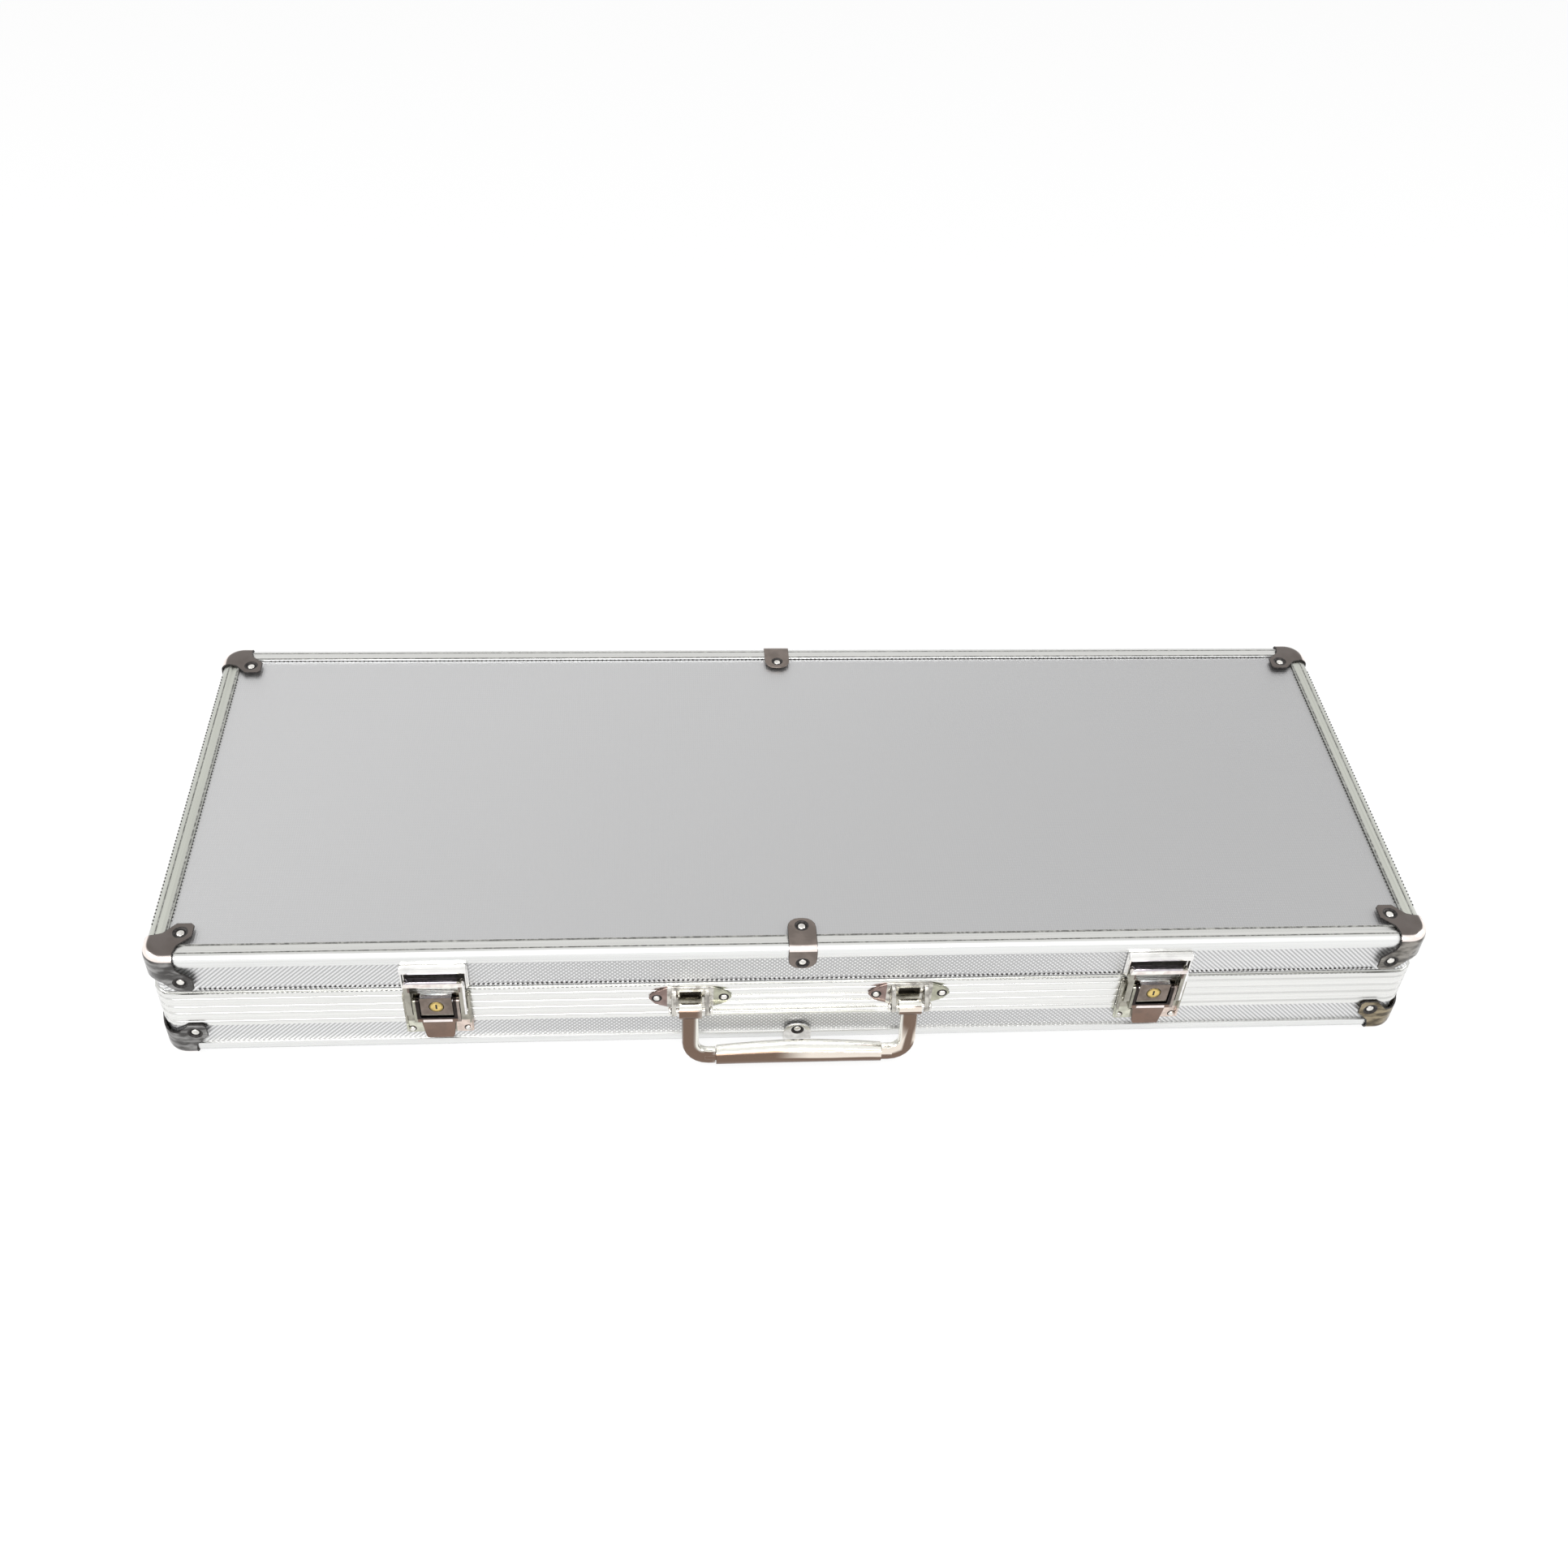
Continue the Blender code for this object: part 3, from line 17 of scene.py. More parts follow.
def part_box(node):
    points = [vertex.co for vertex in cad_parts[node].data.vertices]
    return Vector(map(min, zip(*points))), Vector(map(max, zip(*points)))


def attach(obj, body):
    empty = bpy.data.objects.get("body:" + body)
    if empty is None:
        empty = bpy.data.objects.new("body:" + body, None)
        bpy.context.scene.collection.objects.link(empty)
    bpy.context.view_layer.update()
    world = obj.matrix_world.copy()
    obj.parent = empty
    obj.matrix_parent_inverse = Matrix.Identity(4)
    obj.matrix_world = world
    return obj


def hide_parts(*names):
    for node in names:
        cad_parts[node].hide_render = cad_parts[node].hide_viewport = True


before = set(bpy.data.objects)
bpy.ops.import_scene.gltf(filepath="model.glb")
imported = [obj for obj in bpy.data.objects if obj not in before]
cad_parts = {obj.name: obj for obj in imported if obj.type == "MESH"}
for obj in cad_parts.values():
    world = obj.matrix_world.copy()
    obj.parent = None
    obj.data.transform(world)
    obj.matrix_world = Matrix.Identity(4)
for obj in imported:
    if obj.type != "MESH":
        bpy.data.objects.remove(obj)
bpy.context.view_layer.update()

LOG = logging.getLogger("poker_chip_case")

MERGE_DISTANCE = 0.00001
FLAT_ANGLE = radians(0.6)
SHARP_ANGLE = radians(32.0)
FULL_TURN = 2 * pi
QUARTER_TURN = pi / 2
DISH_SIDES = 28
MIDDLE = (0.3, 0.7)
WHITE = (1.0, 1.0, 1.0, 1.0)

Colour = tuple[float, float, float]
Point = tuple[float, float, float]
Line = tuple[Point, Point]
Outline = list[tuple[float, float]]
Socket = bpy.types.NodeSocket
Signal = bpy.types.NodeSocket | float


class Grain(Enum):
    """Direction that a drawn surface runs in, as the stretch of its streaks."""

    ALONG_X = (3.0, 900.0, 900.0)
    ALONG_Y = (900.0, 3.0, 900.0)
    ROUND_CASE = (2.0, 2.0, 900.0)


class Half(Enum):
    """Halves of the case, as the way that each one's panel looks along Z."""

    BASE = -1
    LID = 1

    @property
    def body(self) -> str:
        """Body of the half, which also starts its nodes' names."""
        return self.name.lower()


class Side(Enum):
    """Sides of the case, as the outward direction of each."""

    BACK = (0, 1)
    LEFT = (-1, 0)
    FRONT = (0, -1)
    RIGHT = (1, 0)

    @property
    def label(self) -> str:
        """Word for the side in a piece's name."""
        return self.name.lower()


class Slot(Enum):
    """Material slots of the record."""

    BOARD = "foiled_board"
    ALUMINIUM = "aluminium_extrusion"
    CHROME = "chrome_hardware"
    HINGE = "hinge_steel"
    BRASS = "brass_lock"
    TRAY = "flocked_tray"
    PAD = "foam_pad"


ENDS = (Side.LEFT, Side.RIGHT)


# Node trees

class NodeMaker:
    """Adds and links the nodes of one tree."""

    def __init__(self, tree: bpy.types.NodeTree) -> None:
        """Keep the tree that gets the nodes."""
        self.tree = tree

    def add(self, kind: str, inputs: dict[int | str, object] | None = None,
            **settings: object) -> bpy.types.Node:
        """Add a node and fill it in.

        Args:
            kind: Type name of the node.
            inputs: Output socket or plain value for each input, by its name or number.
            settings: Properties of the node by name.

        Returns:
            The new node.
        """
        node = self.tree.nodes.new(kind)
        for key, value in settings.items():
            setattr(node, key, value)
        for key, value in (inputs or {}).items():
            self.put(node.inputs[key], value)
        return node

    def put(self, socket: Socket, value: object) -> None:
        """Link or set one input.

        Args:
            socket: Input socket.
            value: Output socket to link, or a plain value.
        """
        if isinstance(value, bpy.types.NodeSocket):
            self.tree.links.new(value, socket)
        else:
            socket.default_value = value


def scaled(colour: Colour, share: float) -> Colour:
    """Darker or lighter version of a colour."""
    return tuple(min(1.0, channel * share) for channel in colour)


class Graph(NodeMaker):
    """Nodes of one material round its principled shader."""

    def __init__(self, name: str) -> None:
        """Start a material with the object's own coordinates.

        Args:
            name: Name of the material.
        """
        self.material = bpy.data.materials.new(name)
        self.material.use_nodes = True
        super().__init__(self.material.node_tree)
        self.shader = self.tree.nodes["Principled BSDF"]
        coordinates = self.add("ShaderNodeTexCoord")
        self.place = coordinates.outputs["Object"]
        self.facing = coordinates.outputs["Normal"]
        self.x, self.y, self.z = self.add("ShaderNodeSeparateXYZ", {0: self.place}).outputs

    def math(self, operation: str, *values: Signal) -> Socket:
        """Work out one operation on numbers."""
        return self.add("ShaderNodeMath", dict(enumerate(values)), operation=operation).outputs[0]

    def ease(self, value: Signal, low: float, high: float, start: float = 0.0, end: float = 1.0) -> Socket:
        """Ease from start to end while a value goes from low to high."""
        range_ends = dict(enumerate((value, low, high, start, end)))
        return self.add("ShaderNodeMapRange", range_ends, interpolation_type='SMOOTHSTEP').outputs[0]

    def window(self, value: Signal, low: float, high: float, soft: float) -> Socket:
        """1 while a value is between low and high and 0 outside, with soft edges."""
        after = self.ease(value, low - soft, low + soft)
        return self.math("MULTIPLY", after, self.ease(value, high - soft, high + soft, 1.0, 0.0))

    def noise(self, scale: float, detail: float = 2.0, stretch: Point = (1.0, 1.0, 1.0)) -> Socket:
        """Smooth random pattern, with its cells to the metre, its octaves and its stretch on each axis."""
        mapped = self.add("ShaderNodeMapping", {"Vector": self.place, "Scale": stretch}).outputs[0]
        return self.add("ShaderNodeTexNoise", {"Vector": mapped, "Scale": scale, "Detail": detail}).outputs[0]

    def shared(self, first: Signal, second: Signal, share: float) -> Socket:
        """Add a share of one pattern to the rest of another."""
        rest = self.math("MULTIPLY", second, 1 - share)
        return self.math("ADD", self.math("MULTIPLY", first, share), rest)

    def blend(self, factor: Signal, first: Socket | Colour, second: Socket | Colour) -> Socket:
        """Mix two colours, where the factor is the share of the second."""
        ends = [end if isinstance(end, bpy.types.NodeSocket) else (*end, 1.0) for end in (first, second)]
        return self.add("ShaderNodeMix", {0: factor, 6: ends[0], 7: ends[1]}, data_type='RGBA').outputs[2]

    def tinted(self, colour: Colour, factor: Signal, low: float, high: float) -> Socket:
        """Go from a darker to a lighter version of one colour along a pattern."""
        return self.blend(factor, scaled(colour, low), scaled(colour, high))

    def mottled(self, colour: Colour, pattern: Signal, low: float, high: float) -> Socket:
        """Tint one colour by the middle of a random pattern's range."""
        return self.tinted(colour, self.ease(pattern, *MIDDLE), low, high)

    def faced(self, axis: int) -> Socket:
        """Part of the object's own normal along one axis."""
        return self.add("ShaderNodeSeparateXYZ", {0: self.facing}).outputs[axis]

    def level(self) -> Socket:
        """How level a face lies: 1 when flat and 0 when upright."""
        return self.math("ABSOLUTE", self.faced(2))

    def send(self, name: str, value: object) -> None:
        """Set or link one of the shader's inputs."""
        self.put(self.shader.inputs[name], value)

    def rough(self, pattern: Signal, low: float, high: float, ends: tuple[float, float] = MIDDLE) -> None:
        """Vary the roughness from low to high along a pattern."""
        self.send("Roughness", self.ease(pattern, *ends, low, high))

    def relief(self, height: Socket, depth: float, strength: float) -> None:
        """Emboss the surface by a height pattern, its real depth in metres and the share that shows."""
        bump = self.add("ShaderNodeBump", {"Strength": strength, "Distance": depth, "Height": height})
        self.send("Normal", bump.outputs[0])


# Finishes

@dataclass(frozen=True)
class Finish:
    """One surface finish, which subclasses give its detail."""

    name: str
    base: Colour
    roughness: float
    metallic: float = 1.0

    def material(self) -> bpy.types.Material:
        """Build the material, or find it if it is built already.

        Returns:
            The material.
        """
        known = bpy.data.materials.get(self.name)
        if known:
            return known
        graph = Graph(self.name)
        graph.send("Base Color", (*self.base, 1.0))
        graph.send("Roughness", self.roughness)
        graph.send("Metallic", self.metallic)
        self.detail(graph)
        return graph.material

    def detail(self, graph: Graph) -> None:
        """Add what sets the finish apart from a plain one."""
        raise NotImplementedError


@dataclass(frozen=True)
class PanelFoil(Finish):
    """Grey foil with rows of fine raised dots on its large flat faces, with a painted highlight on the dots
    and a painted light falloff across it.
    """

    pitch: float = 0.0021
    relief: float = 0.00008
    dot_tone: float = 1.1
    dot_share: float = 0.45
    light_falloff: float = 0.20
    fade_reach: float = 0.4
    fade_slant: float = 1.2
    drift: float = 3.2
    grain: float = 2600.0

    def detail(self, graph: Graph) -> None:
        """Add the dots with their painted highlight, a painted light falloff from the back left to the front
        right, a slow random drift in tone and the foil's fine grain.

        Args:
            graph: The material's nodes.
        """
        turn = FULL_TURN / self.pitch
        waves = [graph.math("SINE", graph.math("MULTIPLY", graph.math(way, graph.x, graph.y), turn))
                 for way in ("ADD", "SUBTRACT")]
        dots = graph.ease(graph.math("MULTIPLY", *waves), 0.1, 0.9)
        grain = graph.noise(self.grain)
        # Painted light falloff: lighter towards the back left and darker towards the front right.
        slope = graph.math("SUBTRACT", graph.math("MULTIPLY", graph.y, self.fade_slant), graph.x)
        light_falloff = graph.ease(slope, -self.fade_reach, self.fade_reach)
        shade = graph.tinted(self.base, light_falloff, 1 - self.light_falloff, 1 + self.light_falloff)
        mottle = graph.mottled(self.base, graph.shared(graph.noise(self.drift, 3.0), grain, 0.5), 0.95, 1.05)
        plain = graph.blend(0.35, shade, mottle)
        # Painted highlight: the raised dots are tinted lighter than the foil; the bump adds their real
        # relief.
        light = scaled(self.base, self.dot_tone)
        graph.send("Base Color", graph.blend(graph.math("MULTIPLY", dots, self.dot_share), plain, light))
        graph.rough(grain, self.roughness - 0.05, self.roughness + 0.06)
        graph.relief(dots, self.relief, 0.6)


@dataclass(frozen=True)
class WallFoil(Finish):
    """Bright foil whose embossed lines lean apart at the two ends and cross in the middle, with painted shade
    on the lines.
    """

    pitch: float = 0.0022
    ridge: float = 0.36
    turn_over: float = 0.2
    crossed: float = 0.06
    faint: float = 0.2
    shade: float = 0.52
    shade_share: float = 0.9
    relief: float = 0.00012
    grain: float = 2400.0

    def line(self, graph: Graph, operation: str) -> Socket:
        """One family of slanting ridges.

        Args:
            graph: The material's nodes.
            operation: ADD or SUBTRACT, which sets the way they lean.

        Returns:
            Ridge height, 0 to 1.
        """
        along = graph.math("ADD", graph.x, graph.y)
        slant = graph.math("DIVIDE", graph.math(operation, along, graph.z), self.pitch)
        return graph.ease(graph.math("PINGPONG", slant, 0.5), self.ridge / 2, self.ridge)

    def detail(self, graph: Graph) -> None:
        """Add the ridges with their painted shade, and the foil's fine grain.

        Args:
            graph: The material's nodes.
        """
        falling = graph.ease(graph.x, -self.turn_over, -self.crossed, self.faint, 1.0)
        rising = graph.ease(graph.x, self.crossed, self.turn_over, 1.0, self.faint)
        emboss = graph.math("MAXIMUM", graph.math("MULTIPLY", self.line(graph, "SUBTRACT"), rising),
                            graph.math("MULTIPLY", self.line(graph, "ADD"), falling))
        grain = graph.noise(self.grain)
        plain = graph.mottled(self.base, grain, 0.965, 1.03)
        # Painted shade: the embossed ridges are tinted darker; the bump adds their real relief.
        shade = graph.math("MULTIPLY", emboss, self.shade_share)
        graph.send("Base Color", graph.blend(shade, plain, scaled(self.base, self.shade)))
        graph.rough(grain, self.roughness - 0.05, self.roughness + 0.06)
        graph.relief(emboss, self.relief, 0.7)


@dataclass(frozen=True)
class Extrusion(Finish):
    """Satin aluminium with the streaks that drawing through a die leaves."""

    grain: Grain = Grain.ALONG_X
    streak: float = 0.06
    streaks: float = 1.6
    drift: float = 14.0
    top: Colour = (0.66, 0.66, 0.64)
    grooves: tuple[float, ...] = ()
    groove_half: float = 0.0006
    groove_depth: float = 0.55
    groove_tone: Colour = (0.47, 0.47, 0.46)

    def detail(self, graph: Graph) -> None:
        """Add streaks along the extrusion, a slow drift in tone, a painted tone on level faces by how they
        lie, and painted shade lines at its groove heights.

        Args:
            graph: The material's nodes.
        """
        streaks = graph.noise(self.streaks, 3.0, self.grain.value)
        streaky = graph.ease(graph.shared(streaks, graph.noise(self.drift), 0.7), *MIDDLE)
        sides, level = (graph.tinted(tone, streaky, 1 - self.streak, 1 + self.streak)
                        for tone in (self.base, self.top))
        # Painted light by how a face lies: level faces take the top colour and upright ones the base colour.
        tone = graph.blend(graph.ease(graph.level(), 0.9, 0.985), sides, level)
        # Painted shade: a dark band at each groove height.
        for height in self.grooves:
            low, high = height - self.groove_half, height + self.groove_half
            band = graph.window(graph.z, low, high, self.groove_half)
            tone = graph.blend(graph.math("MULTIPLY", band, self.groove_depth), tone, self.groove_tone)
        graph.send("Base Color", tone)
        graph.rough(streaks, self.roughness - 0.06, self.roughness + 0.08)
        graph.relief(streaks, 0.00002, 0.25)


@dataclass(frozen=True)
class Plating(Finish):
    """Nickel-chrome plating on pressed steel: soft dark clouds of painted reflection, haze and hairline
    scratches.
    """

    dark_reflection: Colour = (0.10, 0.085, 0.075)
    cloud: float = 90.0
    depth: float = 0.35
    haze: float = 420.0
    scratch: float = 60.0

    def tone(self, graph: Graph) -> Socket:
        """Colour of the plating with its clouds of painted reflection."""
        # Painted reflection: clouds of a darker tone stand for what the chrome mirrors.
        clouds = graph.ease(graph.noise(self.cloud, 2.5), 0.42, 0.66, 0.0, self.depth)
        return graph.blend(clouds, self.base, self.dark_reflection)

    def detail(self, graph: Graph) -> None:
        """Add the painted reflection clouds, haze and scratches.

        Args:
            graph: The material's nodes.
        """
        graph.send("Base Color", self.tone(graph))
        graph.rough(graph.noise(self.haze, 3.0), self.roughness, self.roughness + 0.12, (0.35, 0.75))
        scratches = graph.noise(self.scratch, 2.0, (1.0, 14.0, 22.0))
        graph.relief(graph.ease(scratches, 0.35, 0.7), 0.00004, 0.22)


@dataclass(frozen=True)
class RolledPlating(Plating):
    """Plating with a painted highlight: a bright pinkish line where a level face rolls over into an upright
    one.
    """

    painted_highlight: Colour = (1.0, 0.90, 0.85)
    roll: tuple[float, float] = (0.42, 0.90)

    def rolled(self, graph: Graph, colour: Socket) -> Socket:
        """Lay the painted highlight line over a colour."""
        return graph.blend(graph.window(graph.level(), *self.roll, 0.05), colour, self.painted_highlight)

    def tone(self, graph: Graph) -> Socket:
        """Clouded colour with the painted highlight line."""
        return self.rolled(graph, super().tone(graph))


@dataclass(frozen=True)
class CornerReflectionPlating(RolledPlating):
    """Plating on pressed corners: plain on level faces, with dark streaky painted reflections of creases on
    upright ones.
    """

    flank_reflection: Colour = (0.31, 0.305, 0.30)
    dark_crease_reflection: Colour = (0.085, 0.082, 0.080)
    warm_reflection_tint: Colour = (1.12, 0.95, 0.66)

    def tone(self, graph: Graph) -> Socket:
        """Colour with painted crease reflections on the upright faces, painted warmer on the lower plates at
        the right.

        Args:
            graph: The material's nodes.

        Returns:
            The colour.
        """
        # Painted reflection: dark streaky creases on the upright faces and a warmer tint on the lower right
        # plates.
        crease_reflections = graph.ease(graph.noise(self.cloud * 1.6, 2.5, (1.0, 1.0, 2.4)), 0.36, 0.66)
        cool = graph.blend(crease_reflections, self.dark_crease_reflection, self.flank_reflection)
        warm = graph.blend(crease_reflections, *(tuple(channel * tint for channel, tint in zip(tone, self.warm_reflection_tint))
                                      for tone in (self.dark_crease_reflection, self.flank_reflection)))
        low = graph.ease(graph.z, 0.03, 0.045, 1.0, 0.25)
        right = graph.math("MULTIPLY", graph.ease(graph.x, -0.1, 0.1), low)
        upright = graph.ease(graph.level(), 0.3, 0.55, 1.0, 0.0)
        sides = graph.blend(right, cool, warm)
        return self.rolled(graph, graph.blend(upright, Plating.tone(self, graph), sides))


@dataclass(frozen=True)
class Zone:
    """Stretch of one painted tone of reflection, highlight or shade, measured across from a fitting's middle
    and up from the table.
    """

    tone: Colour
    across: tuple[float, float]
    up: tuple[float, float]
    level: bool = False


@dataclass(frozen=True)
class ZonedPlating(Plating):
    """Plating on a pair of fittings, where each part mirrors something else: its zones are painted
    reflections, highlights and shade.
    """

    zones: tuple[Zone, ...] = ()
    middle: float = 0.1585
    soft: float = 0.0002

    def tone(self, graph: Graph) -> Socket:
        """Colour with its zones of painted reflection, highlight and shade.

        Args:
            graph: The material's nodes.

        Returns:
            The colour.
        """
        colour = super().tone(graph)
        centre = graph.math("MULTIPLY", graph.math("SIGN", graph.x), self.middle)
        across = graph.math("SUBTRACT", graph.x, centre)
        waver = graph.ease(graph.noise(260.0), *MIDDLE)
        for zone in self.zones:
            inside = graph.math("MULTIPLY", graph.window(across, *zone.across, self.soft),
                                graph.window(graph.z, *zone.up, self.soft))
            if zone.level:
                inside = graph.math("MULTIPLY", inside, graph.ease(graph.faced(2), 0.4, 0.7))
            colour = graph.blend(inside, colour, graph.tinted(zone.tone, waver, 0.82, 1.15))
        return colour


@dataclass(frozen=True)
class HandlePlating(Plating):
    """Plating on the handle with painted reflections by how each face lies: bright on top, with a dark line,
    a pale band and a brown underside.
    """

    pale: Colour = (0.86, 0.78, 0.69)
    line: float = 0.04
    band: float = -0.55
    rise: tuple[float, float] = (0.68, 0.73)
    turn: float = 0.06
    wander: float = 0.22

    def tone(self, graph: Graph) -> Socket:
        """Painted reflection colour by the way each face looks.

        Args:
            graph: The material's nodes.

        Returns:
            The colour.
        """
        lean = graph.math("ADD", graph.math("MULTIPLY", graph.faced(1), self.rise[0]),
                          graph.math("MULTIPLY", graph.faced(2), self.rise[1]))
        wander = graph.math("MULTIPLY", graph.math("SUBTRACT", graph.noise(34.0), 0.5), self.wander)
        height = graph.math("ADD", lean, wander)
        right = graph.ease(graph.x, -0.012, 0.006)
        pale = graph.math("MULTIPLY", graph.window(height, self.band, self.line, 0.05), right)
        under = graph.blend(pale, self.dark_reflection, self.pale)
        bright = graph.ease(height, self.line + 0.08, self.line + 0.14)
        half = graph.math("SIGN", graph.x)
        inner = graph.math("MULTIPLY", graph.math("MULTIPLY", graph.faced(0), half), -1.0)
        inward = graph.ease(graph.math("SUBTRACT", inner, graph.math("MULTIPLY", half, self.turn)), 0.15, 0.4)
        return graph.blend(graph.math("MAXIMUM", bright, inward), under, self.base)


@dataclass(frozen=True)
class TurnedBrass(Finish):
    """Brass face with the rings that a lathe leaves round the lock's axis."""

    axis_across: float = 0.1585
    axis_height: float = 0.0338
    ring: float = 0.00042
    worn: float = 0.0021
    worn_fade: float = 0.0006
    worn_tone: float = 0.28
    worn_share: float = 0.75

    def detail(self, graph: Graph) -> None:
        """Add the rings, a faint tarnish and a darker rim of painted shade.

        Args:
            graph: The material's nodes.
        """
        across = graph.math("SUBTRACT", graph.math("ABSOLUTE", graph.x), self.axis_across)
        up = graph.math("SUBTRACT", graph.z, self.axis_height)
        squares = graph.math("ADD", graph.math("POWER", across, 2.0), graph.math("POWER", up, 2.0))
        distance = graph.math("SQRT", squares)
        rings = graph.math("SINE", graph.math("MULTIPLY", distance, FULL_TURN / self.ring))
        tarnish = graph.noise(700.0, 3.0)
        tone = graph.math("ADD", graph.math("MULTIPLY", rings, 0.2), tarnish)
        face = graph.tinted(self.base, graph.ease(tone, 0.25, 0.8), 0.66, 1.25)
        # Painted shade: the face darkens towards the barrel's rim.
        worn = graph.ease(distance, self.worn, self.worn + self.worn_fade)
        rim = graph.math("MULTIPLY", worn, self.worn_share)
        graph.send("Base Color", graph.blend(rim, face, scaled(self.base, self.worn_tone)))
        graph.rough(tarnish, self.roughness - 0.06, self.roughness + 0.12)
        graph.relief(graph.ease(rings, -1.0, 1.0), 0.00003, 0.4)


@dataclass(frozen=True)
class BrushedSteel(Finish):
    """Plated hinge steel brushed along the hinge."""

    def detail(self, graph: Graph) -> None:
        """Add the brushing.

        Args:
            graph: The material's nodes.
        """
        brushing = graph.noise(2.2, 4.0, (14.0, 700.0, 700.0))
        graph.send("Base Color", graph.mottled(self.base, brushing, 0.82, 1.14))
        graph.rough(brushing, self.roughness - 0.05, self.roughness + 0.1)
        graph.relief(brushing, 0.00003, 0.3)


@dataclass(frozen=True)
class Nap(Finish):
    """Short black fibres, as on a flocked moulding or the skin of a foam pad."""

    fibre: float = 1900.0
    height: float = 0.0003
    sheen: float = 0.35
    sheen_roughness: float = 0.5
    patch: float = 46.0

    def detail(self, graph: Graph) -> None:
        """Add the fibres, patches that lie another way, and the sheen of a nap.

        Args:
            graph: The material's nodes.
        """
        fibres = graph.noise(self.fibre, 3.0)
        tone = graph.shared(fibres, graph.noise(self.patch, 3.0), 0.6)
        graph.send("Base Color", graph.mottled(self.base, tone, 0.55, 1.7))
        graph.send("Sheen Weight", self.sheen)
        graph.send("Sheen Roughness", self.sheen_roughness)
        graph.relief(fibres, self.height, 0.8)


@dataclass(frozen=True)
class Recess(Finish):
    """Near-black to dark grey painted shade for the inside of a slot, a dished ring or a dark outline, with a
    film of dust.
    """

    dust: float = 800.0

    def detail(self, graph: Graph) -> None:
        """Add the dust.

        Args:
            graph: The material's nodes.
        """
        dust = graph.noise(self.dust, 3.0)
        graph.send("Base Color", graph.tinted(self.base, graph.ease(dust, 0.35, 0.75), 0.6, 2.2))
        graph.rough(dust, self.roughness, self.roughness + 0.2)


PANEL = PanelFoil("panel_foil", (0.52, 0.52, 0.523), 0.42)
WALL = WallFoil("wall_foil", (0.84, 0.84, 0.845), 0.40)
# The long and cross profiles are lit and shaded copies of one extrusion: the cross ones at the ends are
# painted darker.
PROFILE_LONG = Extrusion("profile_long", (0.80, 0.805, 0.795), 0.28)
PROFILE_CROSS = Extrusion("profile_cross", (0.57, 0.58, 0.54), 0.34, grain=Grain.ALONG_Y,
                          top=(0.54, 0.55, 0.50))
# The rim's groove heights carry painted shade lines.
RIM = Extrusion("rim_frame", (0.82, 0.82, 0.80), 0.24, grain=Grain.ROUND_CASE,
                grooves=(0.0219, 0.0274, 0.0318, 0.0370, 0.0412))
# Dark grey painted shade: lines in the flange groove and round the panel, and the keeper's outline.
SHADE_LINE = Recess("flange_groove", (0.17, 0.17, 0.16), 0.5, 0.3)
# Plating colours are partly painted reflection: brown-grey on the corner plates and lid clips stands for what
# the chrome mirrors.
PLATE = CornerReflectionPlating("corner_plating", (0.160, 0.140, 0.130), 0.16)
CLIP = RolledPlating("clip_plating", (0.22, 0.185, 0.165), 0.14, cloud=160.0)
# The low clips are a near-white lit copy of the lid clips' plating, and the keeper is near white too: painted
# reflection.
CLIP_LOW = Plating("low_clip_plating", (0.80, 0.79, 0.76), 0.14, cloud=160.0, depth=0.25)
KEEPER = Plating("keeper_plating", (0.93, 0.92, 0.90), 0.16, cloud=120.0, depth=0.12)
# Painted reflections on the latch bases: a khaki base tone, a brown-grey block front, a bright bluish-white
# block top and tinted feet.
LATCH = ZonedPlating("latch_plating", (0.40, 0.385, 0.325), 0.14, cloud=210.0, depth=0.4, zones=(
    Zone((0.21, 0.170, 0.145), (-0.0078, 0.0078), (0.0285, 0.0396)),
    Zone((0.90, 0.94, 0.97), (-0.0078, 0.0078), (0.0285, 0.0396), level=True),
    Zone((0.62, 0.62, 0.52), (-0.0160, -0.0072), (0.0130, 0.0212)),
    Zone((0.72, 0.60, 0.53), (0.0072, 0.0160), (0.0130, 0.0212))))
# Painted light on the claws: shade under the top bar, a pinkish highlight on it, a greyish reflection above
# and a highlight on the right arm.
LOOP = ZonedPlating("loop_plating", (0.40, 0.385, 0.33), 0.12, cloud=150.0, depth=0.3, zones=(
    Zone((0.16, 0.115, 0.10), (-0.0112, 0.0112), (0.0440, 0.0472)),
    Zone((0.96, 0.84, 0.80), (-0.0140, 0.0140), (0.0472, 0.0495)),
    Zone((0.58, 0.54, 0.60), (-0.0140, 0.0100), (0.0496, 0.0510)),
    Zone((0.96, 0.94, 0.92), (0.0121, 0.0140), (0.0270, 0.0490))))
# Painted light on the levers: brown and khaki reflections on the arms and near-black shade in the middle.
LEVER = ZonedPlating("lever_plating", (0.23, 0.155, 0.122), 0.16, cloud=190.0, depth=0.25, zones=(
    Zone((0.36, 0.35, 0.29), (-0.0140, -0.0086), (0.0200, 0.0390)),
    Zone((0.33, 0.28, 0.25), (0.0086, 0.0140), (0.0200, 0.0390)),
    Zone((0.035, 0.028, 0.026), (-0.0088, 0.0088), (0.0262, 0.0390))))
# Near-white painted highlights: the lever ridges and the handle arms' rounded edges.
RIDGE = Plating("ridge_plating", (0.98, 0.90, 0.88), 0.14, cloud=300.0, depth=0.1)
BRIGHT = Plating("bright_edge", (0.95, 0.92, 0.88), 0.12, cloud=300.0, depth=0.2)
